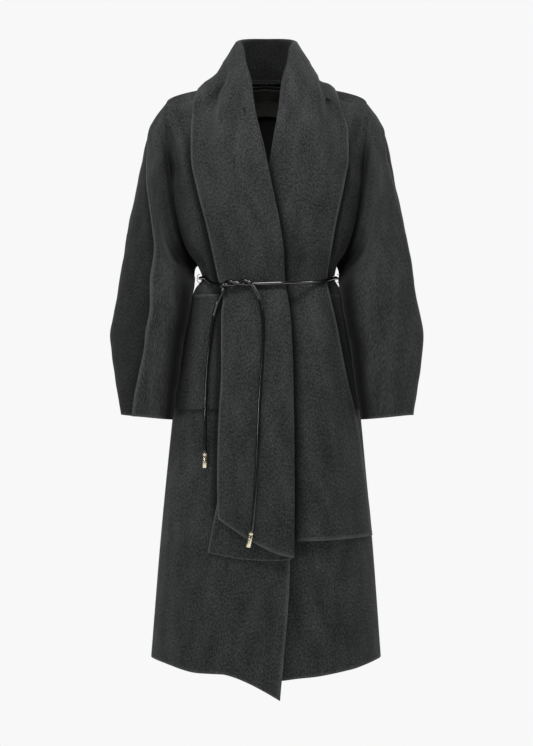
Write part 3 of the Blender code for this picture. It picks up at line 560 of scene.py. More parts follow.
def pale_gold():
    made, nodes, links, shader = new_material("pale_gold", 0.24, 0.5, 1.0)
    at = stretched(nodes, links, (1.0, 1.0, 1.0), "Object")
    cloud = noise(nodes, links, at, 160.0, 3.0)
    links.new(ramp(nodes, links, cloud, ((0.25, (0.86, 0.76, 0.55)), (0.8, (0.95, 0.87, 0.68)))),
              shader.inputs["Base Color"])
    links.new(ramp(nodes, links, cloud, ((0.3, 0.20), (0.8, 0.34))), shader.inputs["Roughness"])
    brushed = noise(nodes, links, stretched(nodes, links, (1.0, 1.0, 14.0), "Object"), 300.0, 2.0)
    bump(nodes, links, shader, brushed, 0.00003, 0.4)
    return made


def select_faces(mesh, test):
    """Select, in edit mode, the faces whose centre passes a test."""
    shape = bmesh.from_edit_mesh(mesh)
    for face in shape.faces:
        face.select_set(test(face))
    shape.select_flush_mode()
    bmesh.update_edit_mesh(mesh)


def make_tip(name, route, look):
    """A turned tip past the last point of a cord, in line with it."""
    end = Vector(route[-1])
    way = (end - Vector(route[-3])).normalized()
    bpy.ops.object.select_all(action="DESELECT")
    bpy.ops.mesh.primitive_cylinder_add(vertices=40, radius=TIP_RADIUS, depth=TIP_LENGTH)
    tip = bpy.context.object
    tip.name = name
    bpy.ops.object.mode_set(mode="EDIT")
    bpy.ops.mesh.select_mode(type="FACE")
    select_faces(tip.data, lambda f: abs(f.normal.z) > 0.9)
    bpy.ops.mesh.inset(thickness=RIM_WIDTH, use_individual=True)
    bpy.ops.mesh.extrude_region_shrink_fatten(TRANSFORM_OT_shrink_fatten={"value": -RIM_DEPTH})
    for height in (TIP_LENGTH / 2 - GROOVE_TOP, TIP_LENGTH / 2 - GROOVE_FOOT):
        bpy.ops.mesh.select_all(action="SELECT")
        bpy.ops.mesh.bisect(plane_co=(0, 0, height), plane_no=(0, 0, 1))
    groove = (TIP_LENGTH - GROOVE_TOP - GROOVE_FOOT) / 2
    select_faces(tip.data, lambda f: abs(f.normal.z) < 0.1 and f.calc_center_median().xy.length > 0.004
                 and abs(f.calc_center_median().z - groove) < 0.0003)
    bpy.ops.mesh.extrude_region_shrink_fatten(TRANSFORM_OT_shrink_fatten={"value": -GROOVE_DEPTH})
    bpy.ops.mesh.select_all(action="SELECT")
    bpy.ops.mesh.normals_make_consistent(inside=False)
    bpy.ops.object.mode_set(mode="OBJECT")
    soften = tip.modifiers.new("soft_rims", "BEVEL")
    soften.width = 0.00035
    soften.segments = 2
    soften.limit_method = "ANGLE"
    soften.angle_limit = radians(40)
    bpy.ops.object.modifier_apply(modifier=soften.name)
    bpy.ops.object.shade_smooth_by_angle(angle=radians(35))
    tip.rotation_euler = (-way).to_track_quat("Z", "X").to_euler()
    tip.location = end + way * (TIP_LENGTH / 2 - TIP_LAP)
    bpy.ops.object.transform_apply(location=True, rotation=True, scale=True)
    tip.data.materials.append(look)
    return tip


GOLD = pale_gold()


def taper_into_tip(length):
    """The cord narrows slightly where it goes into its tip."""
    return lambda along: 1.0 - TAPER * np.exp(-((along - length) / TAPER_REACH) ** 2)


belt = tube("belt_cord", ROUND_WAIST, CORD, LEATHER)
dress(belt, "belt")
for size, route, length in (("long", LONG_END, LONG_LENGTH), ("short", SHORT_END, SHORT_LENGTH)):
    end = tube("cord_end_" + size, route, CORD, LEATHER, swell=taper_into_tip(length))
    tip = make_tip("metal_tip_" + size, route, GOLD)
    dress(end, "belt_end_" + size)
    dress(tip, "tip_" + size)
    print("cord end", size, round(length, 3), "m, tip at", tuple(round(v, 3) for v in route[-1]))

# %% [markdown]
# ## Brushed wool
# The cloth is a double-faced wool: two thin layers woven as one, brushed so that short fibres lie
# on top.  It is not one grey.  Black, mid-grey and a few pale fibres are mixed before spinning, so
# at arm's length it shows as fine specks, and the brushing leaves faint cloudy streaks down the
# cloth.  The specks, the clouds and the fuzz are noise at three sizes, laid on in metres of cloth by
# each panel's UV map, so they follow the panel round.  An attribute that is 1 along a panel's edge
# adds a painted highlight there, a lighter strip where the rim would catch the light.  Another
# attribute is painted shade: it darkens the panel's inner face, standing in for the shade inside
# the coat, and the folds that hardly any light reaches.

# %% Wool material
def wool():
    made, nodes, links, shader = new_material("brushed_wool", 0.95, 0.18)
    shader.inputs["Sheen Weight"].default_value = 0.10
    shader.inputs["Sheen Roughness"].default_value = 0.45
    shader.inputs["Sheen Tint"].default_value = (0.80, 0.82, 0.84, 1.0)
    nap = stretched(nodes, links, (1.0, 0.62, 1.0))
    specks = noise(nodes, links, nap, 330.0, 3.0, 0.72)
    fuzz = noise(nodes, links, nap, 1500.0, 2.0, 0.6)
    cloud = noise(nodes, links, stretched(nodes, links, (1.0, 0.35, 1.0)), 34.0, 3.0, 0.6)
    mixed = add_up(nodes, links, add_up(nodes, links, specks, fuzz, 0.55), cloud, 0.34)
    halved = nodes.new("ShaderNodeMath")
    halved.operation = "MULTIPLY"
    halved.inputs[1].default_value = 0.5
    links.new(mixed, halved.inputs[0])
    fibres = ramp(nodes, links, halved.outputs["Value"], (
        (0.36, (0.0050, 0.0054, 0.0055)), (0.44, (0.0225, 0.0235, 0.0238)),
        (0.50, (0.0405, 0.0421, 0.0426)), (0.58, (0.0740, 0.0762, 0.0770))))
    pale = ramp(nodes, links, noise(nodes, links, nap, 760.0, 2.0, 0.5), ((0.62, 0.0), (0.74, 0.55)))
    colour = mix(nodes, links, pale, fibres, (0.105, 0.108, 0.110, 1.0))
    # painted highlight: the edge attribute adds a lighter strip along the rims
    colour = mix(nodes, links, attribute(nodes, "edge"), colour, (0.046, 0.0470, 0.0470, 1.0), "ADD")
    # painted shade: this attribute multiplies the colour down on inner faces and in folds that get little
    # light
    share = ramp(nodes, links, attribute(nodes, "painted_shade"), ((0.0, 1.0), (0.7, 0.30), (1.0, 0.04)))
    colour = mix(nodes, links, 1.0, colour, share, "MULTIPLY")
    links.new(colour, shader.inputs["Base Color"])
    bump(nodes, links, shader, add_up(nodes, links, add_up(nodes, links, specks, fuzz, 0.6), cloud, 0.8),
         0.0011, 0.55)
    return made


WOOL = wool()
print("material:", WOOL.name, "with", len(WOOL.node_tree.nodes), "nodes")

# %% [markdown]
# ## How a panel of cloth is made
# A cut panel is a grid of points.  Each point has the direction that the cloth faces there, and
# the wall is built half its thickness to either side, so that where two panels meet in a seam both can
# face the same way and their edges close up square.  The wall's rims are then bevelled round, because
# thick brushed wool has no sharp edge.  UVs hold the distance across and down the panel in metres.

# %% Cloth helpers
CELL = 0.0065                # size of one cell of a cloth grid
RIM_HIGHLIGHT = 0.0028           # width of the painted highlight along a rim
EDGE_ROUND = 0.30            # bevel of a panel's rims, as a share of its thickness
ARMHOLE_SHADE = (0.08, 0.17)  # how far below the neck the armhole's valley gets painted shade


def grid_normals(points):
    """The cloth's own direction outward at each point of a grid."""
    return unit(np.cross(np.gradient(points, axis=0), np.gradient(points, axis=1)))


def measure(points):
    """Distance across and down the cloth to each grid point, and the grid's area."""
    step_u = np.linalg.norm(np.diff(points, axis=1), axis=-1)
    step_v = np.linalg.norm(np.diff(points, axis=0), axis=-1)
    u = np.concatenate([np.zeros((len(points), 1)), np.cumsum(step_u, axis=1)], axis=1)
    v = np.concatenate([np.zeros((1, points.shape[1])), np.cumsum(step_v, axis=0)], axis=0)
    a = points[1:, 1:] - points[:-1, :-1]
    b = points[1:, :-1] - points[:-1, 1:]
    area = np.linalg.norm(np.cross(a, b), axis=-1).sum() / 2
    return u - u[:, -1:] / 2, v, area


def cloth(name, points, normals, look, thickness=CLOTH, highlight_rims=(1, 1, 1, 1), shift=0.0,
          face_shade=None, reverse_shade=0.7, mirrored=False):
    """A cloth wall on a grid.  highlight_rims says which rims get a painted highlight: top, bottom,
    first, last, and how wide that lighter strip is.  reverse_shade is the painted shade on its inner face,
    and face_shade is the painted shade for each place of its outer face.  shift moves the wool's pattern.
    A mirrored panel's grid is turned round, so that it faces outward."""
    if mirrored:
        points, normals = points[:, ::-1], -normals[:, ::-1]
        highlight_rims = (highlight_rims[0], highlight_rims[1], highlight_rims[3], highlight_rims[2])
        face_shade = None if face_shade is None else face_shade[:, ::-1]
    rows, columns = points.shape[:2]
    u, v, area = measure(points)
    # painted highlight: a lighter strip along each listed rim, as wide as its entry says
    near = np.full((rows, columns), 9.0)
    for on, distance in zip(highlight_rims, (v, v[-1:] - v, u - u[:, :1], u[:, -1:] - u)):
        if on:
            near = np.minimum(near, distance / on)
    rim_highlight = 1 - ease(near, 0.0, RIM_HIGHLIGHT)
    shape = bmesh.new()
    uv = shape.loops.layers.uv.new("cut")
    edge = shape.verts.layers.float.new("edge")
    painted_shade = shape.verts.layers.float.new("painted_shade")
    spot = {}
    sides = []
    for side in (0.5, -0.5):
        made = []
        for r in range(rows):
            line = []
            for c in range(columns):
                vert = shape.verts.new(points[r, c] + side * thickness * normals[r, c])
                vert[edge] = rim_highlight[r, c]
                # painted shade: the inner face and each place of the outer face get their darkness here
                vert[painted_shade] = reverse_shade if side < 0 else 0.0 if face_shade is None else face_shade[r, c]
                spot[vert] = (u[r, c] + shift, v[r, c] + shift)
                line.append(vert)
            made.append(line)
        sides.append(made)
    outer, inner = sides
    faces = []
    for r in range(rows - 1):
        for c in range(columns - 1):
            faces.append((outer[r][c], outer[r + 1][c], outer[r + 1][c + 1], outer[r][c + 1]))
            faces.append((inner[r][c], inner[r][c + 1], inner[r + 1][c + 1], inner[r + 1][c]))
    border = ([(0, c) for c in range(columns - 1)] + [(r, columns - 1) for r in range(rows - 1)]
              + [(rows - 1, c) for c in range(columns - 1, 0, -1)] + [(r, 0) for r in range(rows - 1, 0, -1)])
    for (r, c), (r2, c2) in zip(border, border[1:] + border[:1]):
        faces.append((outer[r][c], outer[r2][c2], inner[r2][c2], inner[r][c]))
    for corners in faces:
        face = shape.faces.new(corners)
        for loop in face.loops:
            loop[uv].uv = spot[loop.vert]
    piece = place_mesh(name, shape, look)
    soften = piece.modifiers.new("soft_edges", "BEVEL")
    soften.width = EDGE_ROUND * thickness
    soften.segments = 2
    soften.limit_method = "ANGLE"
    soften.angle_limit = radians(60)
    bpy.context.view_layer.objects.active = piece
    bpy.ops.object.modifier_apply(modifier=soften.name)
    size = (float((u[:, -1] - u[:, 0]).max()), float(v[-1].max()))
    print(f"{name}: {size[0]:.3f} x {size[1]:.3f} m, {area:.3f} m2, {len(piece.data.polygons)} faces")
    return piece, size, float(area)


def face_along(normal, direction, where):
    """Turn the normals of some grid points to one direction, keeping their side."""
    direction = unit(np.asarray(direction, dtype=float))
    same = np.sign((normal[where] * direction).sum(axis=-1, keepdims=True))
    normal[where] = direction * np.where(same < 0, -1.0, 1.0)


# %% [markdown]
# ## Creases
# Heavy cloth doesn't lie like paper.  Around the armholes and the neck it gathers into a few soft
# valleys and ridges, each with its own length, depth and width.  Each crease is drawn as a
# line of places seen from the front (or from the back), and pushes the cloth in or out along the
# direction it faces, fading to nothing at its two ends.

# %% Creases
# (line of x, z places), width, depth: a positive depth is a valley, a negative one a ridge.
BODY_CREASES = (
    (((-0.196, -0.030), (-0.176, -0.100), (-0.158, -0.160), (-0.150, -0.205)), 0.010, -0.0055),
    (((-0.170, -0.030), (-0.158, -0.090), (-0.146, -0.140)), 0.012, 0.0040),
    (((-0.194, -0.075), (-0.186, -0.140), (-0.172, -0.195)), 0.012, 0.0090),
    (((-0.170, -0.190), (-0.163, -0.250), (-0.148, -0.310)), 0.008, 0.0070),
    (((0.194, -0.035), (0.186, -0.090), (0.174, -0.170)), 0.012, 0.0080),
    (((0.168, -0.050), (0.162, -0.110), (0.150, -0.170)), 0.012, -0.0030),
    (((0.170, -0.190), (0.156, -0.270), (0.140, -0.335)), 0.009, 0.0060),
    (((-0.136, -0.300), (-0.122, -0.345), (-0.112, -0.375)), 0.007, 0.0022),
    (((-0.150, -0.640), (-0.148, -0.800), (-0.160, -0.960)), 0.026, 0.0030),
    (((-0.060, -0.930), (-0.070, -1.030), (-0.085, -1.110)), 0.024, 0.0030),
    (((0.120, -0.920), (0.135, -1.020), (0.150, -1.110)), 0.026, 0.0032),
    (((0.170, -0.660), (0.180, -0.800), (0.182, -0.900)), 0.018, 0.0030),
)
BACK_CREASES = (
    (((-0.185, -0.080), (-0.165, -0.170), (-0.130, -0.280)), 0.018, 0.0055),
    (((-0.150, -0.230), (-0.118, -0.310), (-0.085, -0.365)), 0.012, 0.0045),
    (((0.180, -0.085), (0.168, -0.180), (0.140, -0.270)), 0.018, 0.0050),
    (((0.155, -0.210), (0.130, -0.300), (0.100, -0.360)), 0.012, 0.0050),
    (((-0.010, -0.180), (-0.006, -0.270), (-0.012, -0.360)), 0.014, 0.0030),
    (((-0.130, -0.400), (-0.155, -0.560), (-0.165, -0.700)), 0.016, 0.0045),
    (((0.050, -0.400), (0.065, -0.560), (0.080, -0.740)), 0.014, 0.0040),
    (((-0.030, -0.400), (-0.040, -0.600), (-0.050, -0.850)), 0.018, 0.0045),
)


def creased(x, z, creases):
    """How far a place is pushed in by the creases near it."""
    depth = np.zeros_like(x)
    for line, width, push in creases:
        spots = np.array(line)
        length = np.concatenate([[0], np.cumsum(np.linalg.norm(np.diff(spots, axis=0), axis=1))])
        best = np.full(x.shape, 9.0)
        along = np.zeros_like(x)
        for (a, b), start in zip(zip(spots, spots[1:]), length):
            way = b - a
            t = np.clip(((x - a[0]) * way[0] + (z - a[1]) * way[1]) / (way @ way), 0, 1)
            gap = np.hypot(x - a[0] - t * way[0], z - a[1] - t * way[1])
            closer = gap < best
            best = np.where(closer, gap, best)
            along = np.where(closer, (start + t * np.linalg.norm(way)) / length[-1], along)
        fade = np.sin(pi * np.clip(along, 0.001, 0.999)) ** 0.7
        depth += push * fade * np.exp(-(best / width) ** 2)
    return depth


def rippled(points, seed, size=0.0006):
    """A faint unevenness, so that no panel is perfectly smooth."""
    x, y, z = np.moveaxis(points, -1, 0)
    return size * (np.sin(61 * x + 23 * z + seed) * np.sin(37 * z - 19 * x + 2 * seed)
                   + 0.6 * np.sin(113 * z + 71 * y + 3 * seed) * np.sin(97 * x + seed))


print("creases:", len(BODY_CREASES), "in front,", len(BACK_CREASES), "behind")

# %% [markdown]
# ## Painted shade
# In a deep narrow fold, or just beside a lapping edge, brushed cloth gets hardly any light.  The
# armhole valleys, the strips of cloth just beside a lapping edge and the front beside the sleeves
# are given painted shade, a darker value which fades out over a centimetre or so.  The lapels'
# edges are needed for that, so the table of the collar's sections below the neck comes first.

# %% Sections of the lapels, and the painted shade beside them
FALL_COLUMNS = ("roll_out", "roll_z", "edge_out", "edge_z", "roll_lift", "edge_lift", "belly")
FALL_RIGHT = (
    (0.0245, -0.060, 0.1480, -0.090, 0.0150, 0.0060, 0.010),
    (0.0075, -0.131, 0.1475, -0.142, 0.0130, 0.0065, 0.010),
    (-0.0055, -0.197, 0.1370, -0.200, 0.0125, 0.0070, 0.009),
    (-0.0220, -0.277, 0.1170, -0.277, 0.0125, 0.0070, 0.006),
    (-0.0295, -0.330, 0.1050, -0.330, 0.0120, 0.0070, 0.003),
    (-0.0315, -0.386, 0.0935, -0.384, 0.0115, 0.0075, 0.000),
    (-0.0380, -0.422, 0.0845, -0.420, 0.0125, 0.0090, 0.001),
    (-0.0430, -0.460, 0.0876, -0.457, 0.0130, 0.0095, 0.002),
    (-0.0475, -0.560, 0.0876, -0.560, 0.0136, 0.0095, 0.003),
    (-0.0495, -0.680, 0.0930, -0.670, 0.0150, 0.0098, 0.003),
    (-0.0500, -0.810, 0.0950, -0.775, 0.0152, 0.0100, 0.003),
    (-0.0488, -0.921, 0.0935, -0.847, 0.0148, 0.0104, 0.002),
)
FALL_LEFT = (
    (0.0255, -0.062, 0.1610, -0.088, 0.0150, 0.0060, 0.010),
    (0.0140, -0.130, 0.1610, -0.140, 0.0130, 0.0065, 0.010),
    (0.0060, -0.195, 0.1520, -0.195, 0.0125, 0.0070, 0.009),
    (-0.0030, -0.277, 0.1345, -0.277, 0.0125, 0.0070, 0.006),
    (-0.0050, -0.330, 0.1255, -0.330, 0.0120, 0.0070, 0.003),
    (-0.0050, -0.388, 0.1185, -0.384, 0.0115, 0.0075, 0.000),
    (-0.0020, -0.424, 0.1250, -0.421, 0.0125, 0.0096, 0.001),
    (0.0020, -0.470, 0.1365, -0.470, 0.0130, 0.0098, 0.003),
    (0.0100, -0.570, 0.1560, -0.570, 0.0130, 0.0098, 0.004),
    (0.0180, -0.670, 0.1790, -0.668, 0.0130, 0.0090, 0.004),
    (0.0280, -0.790, 0.1970, -0.785, 0.0130, 0.0065, 0.003),
    (0.0350, -0.8915, 0.2085, -0.887, 0.0130, 0.0060, 0.002),
)


def beside(x, z, line_x, line_z, width):
    """1 on a line that runs down the front, fading to 0 at either side of it."""
    middle = np.interp(-z, -np.asarray(line_z), line_x)
    inside = ease(line_z[0] + 0.03 - z, 0.0, 0.08) * ease(z - line_z[-1], -0.012, 0.002)
    return inside * np.exp(-((x - middle) / width) ** 2)


def shaded(side, grid):
    """Painted shade on one front, or what lies on it, beside the lapel's edge and the sleeve."""
    x, z = grid[..., 0], grid[..., 2]
    fall = table(FALL_COLUMNS, FALL_RIGHT if side < 0 else FALL_LEFT)
    lapel = 0.85 * beside(x, z, side * (fall["edge_out"] + 0.003), fall["edge_z"], 0.0095)
    sleeve = 0.62 * ease(np.abs(x), 0.150, 0.182) * ease(-z, 0.26, 0.32) * (1 - ease(-z, 0.56, 0.70))
    return np.maximum(lapel, sleeve) * ease(np.abs(grid_normals(grid)[..., 1]), 0.25, 0.65)


print("lapel rows:", len(FALL_RIGHT), "and", len(FALL_LEFT))

# %% [markdown]
# ## The back and the two fronts
# The back is one panel from the neck and shoulder seams to the hem.  The right front laps over the left,
# so the left front dips under it in the middle.  The fronts' hems hang lower than the back's, lowest
# at the corner of the right front.

# %% Back and fronts
TUCK_FRONT, TUCK_COLLAR = -0.0200, -0.0215
TUCK_FROM, TUCK_TO, TUCK_TOP = 0.045, 0.105, 0.100
SHOULDER_SLOPE = 0.26
EDGE_COLUMNS = ("right", "left")
EDGE_ROWS = (
    (-0.075, -0.075), (-0.062, -0.062), (-0.052, -0.052), (-0.036, -0.036), (-0.024, -0.024),
    (-0.012, -0.010), (0.000, 0.006), (0.010, 0.018), (0.017, 0.026), (0.020, 0.030),
    (0.021, 0.032), (0.023, 0.034), (0.028, 0.036), (0.035, 0.038), (0.040, 0.040),
    (0.0450, 0.040), (0.0260, 0.040),
)
EDGE = table(EDGE_COLUMNS, EDGE_ROWS)
BODY_ROWS = np.concatenate([np.linspace(0, 4, 44), np.interp(
    np.arange(0.1365, 1.131, CELL), -SIDE["z"], np.arange(HEM_ROW + 1)), [HEM_ROW]])


def tuck(side, x, z):
    """1 where the left front and its lapel dip below the right front, 0 where they lie free."""
    if side < 0:
        return 0.0 * x
    return (1 - ease(x, TUCK_FROM, TUCK_TO)) * ease(-z, TUCK_TOP, TUCK_TOP + 0.08)


def hem_dip(side, x):
    """How far the hem drops below the level at its side seam."""
    if side < 0:
        return 0.016 * ease(x, -0.2295, -0.130) + 0.050 * np.clip((x + 0.084) / 0.110, 0, 1) ** 1.4
    return 0.013 * ease(-x, -0.227, -0.150) + 0.017 * np.clip((0.157 - x) / 0.124, 0, 1)


def armhole_part(row, face):
    """Where a row of the body meets the armhole: 0 at the underarm, 1 at the shoulder, 2 back again."""
    low, top = SIDE["z"][UNDERARM_ROW], SIDE["z"][0]
    height = np.arccos(1 - 2 * np.clip((through(SIDE["z"], row) - low) / (top - low), 0, 1)) / pi
    return height if face < 0 else 2 - height


def armhole_facing(part):
    """The direction that both the body and the sleeve face along the armhole seam."""
    return np.stack([0 * part, -np.sin(pi * part), -np.cos(pi * part)], axis=-1)


def seam_normals(normal, grid, rows, face, columns):
    """Turn the edges of a body panel so that they meet the next panel square."""
    shoulder = np.abs(grid[0, :, 0]) > 0.070
    slope = SHOULDER_SLOPE * np.sign(grid[0, shoulder, 0])
    face_along(normal, np.stack([slope, 0 * slope, 1 + 0 * slope], axis=-1), (0, shoulder))
    below = rows >= UNDERARM_ROW
    arm = rows < UNDERARM_ROW
    own = ease(rows[arm], 7.4, 9.0)[:, None]
    for c in columns:
        face_along(normal, np.tile([1.0, 0.0, 0.0], (below.sum(), 1)), (below, c))
        joint = armhole_facing(armhole_part(rows[arm], face))
        sense = np.sign((normal[arm, c] * joint).sum(axis=-1, keepdims=True))
        normal[arm, c] = unit(joint * np.where(sense < 0, -1, 1) * (1 - own) + normal[arm, c] * own)


def make_back():
    angle = np.linspace(-pi / 2, pi / 2, 65)
    row, turn = np.meshgrid(BODY_ROWS, angle, indexing="ij")
    half = np.where(turn < 0, through(SIDE["right"], row), through(SIDE["left"], row))
    grid = body(1, row, half * np.sin(turn))
    normal = grid_normals(grid)
    free = ease(pi / 2 - np.abs(turn), 0.02, 0.25) * ease(row, 0.2, 1.5) * (1 - ease(row, 15.2, 16.0) * 0.4)
    push = creased(grid[..., 0], grid[..., 2], BACK_CREASES) + rippled(grid, 1.7)
    grid = grid + normal * (push * free)[..., None]
    normal = grid_normals(grid)
    seam_normals(normal, grid, BODY_ROWS, 1, (0, -1))
    # painted highlight along the hem; painted shade on the inner face, darker than on other panels
    piece, size, area = cloth("back_panel", grid, normal, WOOL, highlight_rims=(0, 0.5, 0, 0), reverse_shade=0.92,
                              mirrored=True)
    dress(piece, "back")


def make_front(side):
    name = "right" if side < 0 else "left"
    rows = BODY_ROWS
    near = through(SIDE[name], rows)
    start = np.arcsin(-through(EDGE[name], rows) / near)
    share = np.linspace(0, 1, 46)
    angle = start[:, None] + (pi / 2 - start[:, None]) * share
    row = np.repeat(rows[:, None], len(share), axis=1)
    x = side * near[:, None] * np.sin(angle)
    z = body(-1, row, x)[..., 2]
    grid = body(-1, row, x, tuck(side, x, z) * TUCK_FRONT)
    grid[..., 2] -= hem_dip(side, x) * ease(row, 14.0, 16.0)
    normal = grid_normals(grid)
    outward = normal * np.where(normal[..., 1:2] < 0, 1, -1)
    free = ease(1 - share, 0.01, 0.12) * ease(row, 0.2, 1.2)
    push = creased(x, grid[..., 2], BODY_CREASES) + rippled(grid, 2.3 + side)
    grid = grid - outward * (push * free)[..., None]
    normal = grid_normals(grid)
    seam_normals(normal, grid, rows, -1, (-1,))
    u = measure(grid)[0]
    # painted shade in the armhole valley, and beside the lapel's edge and the sleeve
    deep = ease(-grid[..., 2], *ARMHOLE_SHADE) * (1 - ease(row, 8.6, 9.4))
    away = u[:, -1:] - u
    valley = deep * np.maximum(1 - ease(away, 0.006, 0.012 + 0.024 * deep),
                               0.45 * (1 - ease(away, 0.030, 0.065)))
    face_shade = np.maximum(valley, shaded(side, grid))
    # painted highlight along the front edge and the hem
    piece, size, area = cloth("front_panel_" + name, grid, normal, WOOL, highlight_rims=(0, 0.5, 0.7, 0),
                              shift=0.9 + side * 0.4, face_shade=face_shade, mirrored=side < 0)
    dress(piece, "front_" + name)


make_back()
make_front(-1)
make_front(1)

# %% [markdown]
# ## The sleeves
# Each sleeve is wide at the top, set into a deep armhole, and shaped at the elbow.  It is cut in two
# parts, front and back, joined under the arm and again by a seam that runs down the outside from the
# shoulder.  At that seam the front part is lapped over the back one, so its edge stands a little
# proud; a painted highlight brightens that edge, and painted shade darkens the back part beside it.

# %% Sleeves
SLEEVE_COLUMNS = ("outer_x", "outer_y", "outer_z", "inner_x", "inner_y", "inner_z",
                  "front", "back", "bow", "seam_right", "seam_left")
SLEEVE_ROWS = (
    (0.2000, 0.010, -0.026, 0.1370, 0.000, -0.350, 0.000, 0.000, 0.000, 1.00, 1.00),
    (0.2260, 0.006, -0.064, 0.1430, 0.000, -0.356, 0.056, 0.062, 0.024, 1.00, 1.00),
    (0.2435, 0.000, -0.125, 0.1450, -0.003, -0.362, 0.069, 0.069, 0.024, 0.76, 0.78),
    (0.2570, -0.004, -0.195, 0.1460, -0.008, -0.370, 0.073, 0.072, 0.017, 0.57, 0.82),
    (0.2730, -0.008, -0.270, 0.1435, -0.024, -0.382, 0.072, 0.072, 0.010, 0.51, 0.86),
    (0.2865, -0.016, -0.355, 0.1450, -0.056, -0.402, 0.060, 0.069, 0.004, 0.53, 0.89),
    (0.3000, -0.026, -0.440, 0.1530, -0.073, -0.450, 0.050, 0.060, 0.000, 0.50, 0.90),
    (0.3085, -0.032, -0.496, 0.1630, -0.075, -0.500, 0.048, 0.058, 0.000, 0.50, 0.90),
    (0.2990, -0.040, -0.572, 0.1740, -0.077, -0.580, 0.045, 0.052, 0.000, 0.565, 0.90),
    (0.2865, -0.046, -0.648, 0.1855, -0.078, -0.657, 0.039, 0.044, 0.000, 0.66, 0.90),
)
SLEEVE = table(SLEEVE_COLUMNS, SLEEVE_ROWS)
ARM_GAP = 0.0004             # between the body and the sleeve along the armhole
SEAM_STAND = 0.0048          # how proud the front part stands at the lapped seam
SEAM_DIP = 0.0030            # how far the back part dips beside it
SEAM_REACH = 0.011           # width over which they do
SEAM_LAP = 0.035             # how far the back part runs under the front one, as a share
LAP_HIGHLIGHT = 3.0               # how much wider the painted highlight along the lapped edge is


def sleeve_creases(side):
    """Soft folds inside the elbow and down from the shoulder, as seen from the front."""
    drawn = (
        (((0.205, -0.150), (0.196, -0.260), (0.184, -0.350)), 0.013, 0.0035),
        (((0.232, -0.300), (0.215, -0.370), (0.196, -0.420)), 0.016, 0.0040),
        (((0.280, -0.400), (0.262, -0.455), (0.236, -0.485)), 0.016, 0.0040),
        (((0.215, -0.470), (0.232, -0.520), (0.240, -0.600)), 0.016, 0.0028),
        (((0.216, -0.080), (0.222, -0.140), (0.226, -0.230)), 0.014, -0.0020),
    )
    stretch = 1.0 if side < 0 else 0.88
    return tuple((tuple((side * (x + (0.0 if side < 0 else 0.006)), z * stretch - (0.0 if side < 0 else 0.03))
                        for x, z in line), width, depth) for line, width, depth in drawn)


def armhole(side, part):
    """A point of the armhole for each part: 0 underarm, 1 shoulder, 2 back again."""
    name = "right" if side < 0 else "left"
    along = (1 - np.cos(pi * (1 - np.abs(part - 1)))) / 2
    top, low = SIDE["z"][0], SIDE["z"][UNDERARM_ROW]
    z = low + (top - low) * along
    row = np.interp(-z, -SIDE["z"][:UNDERARM_ROW + 1], np.arange(UNDERARM_ROW + 1))
    depth = np.where(part < 1, through(SIDE["front"], row), through(SIDE["back"], row))
    return np.stack([side * (through(SIDE[name], row) + ARM_GAP), depth, z], axis=-1)


def sleeve_spots(side, part):
    """The sleeve's points at one part of the way round, for each row of its table."""
    turn = pi * part
    across = (1 - np.cos(turn)) / 2
    swell = np.abs(np.sin(turn)) ** 0.85
    spots = [armhole(side, part)]
    for i in range(1, len(SLEEVE_ROWS)):
        s = {key: SLEEVE[key][i] for key in SLEEVE_COLUMNS}
        depth = np.where(part < 1, -s["front"], s["back"])
        bow = s["bow"] * swell * 2 * (1 - across)
        spots.append(np.stack([
            side * (s["inner_x"] + (s["outer_x"] - s["inner_x"]) * across + bow),
            s["inner_y"] + (s["outer_y"] - s["inner_y"]) * across + depth * swell,
            s["inner_z"] + (s["outer_z"] - s["inner_z"]) * across], axis=-1))
    return np.array(spots)


def normals_of_halves(grid, split):
    """Normals of a grid in two overlapping halves, each worked out by itself."""
    return np.concatenate([grid_normals(grid[:, :split]), grid_normals(grid[:, split:])], axis=1)


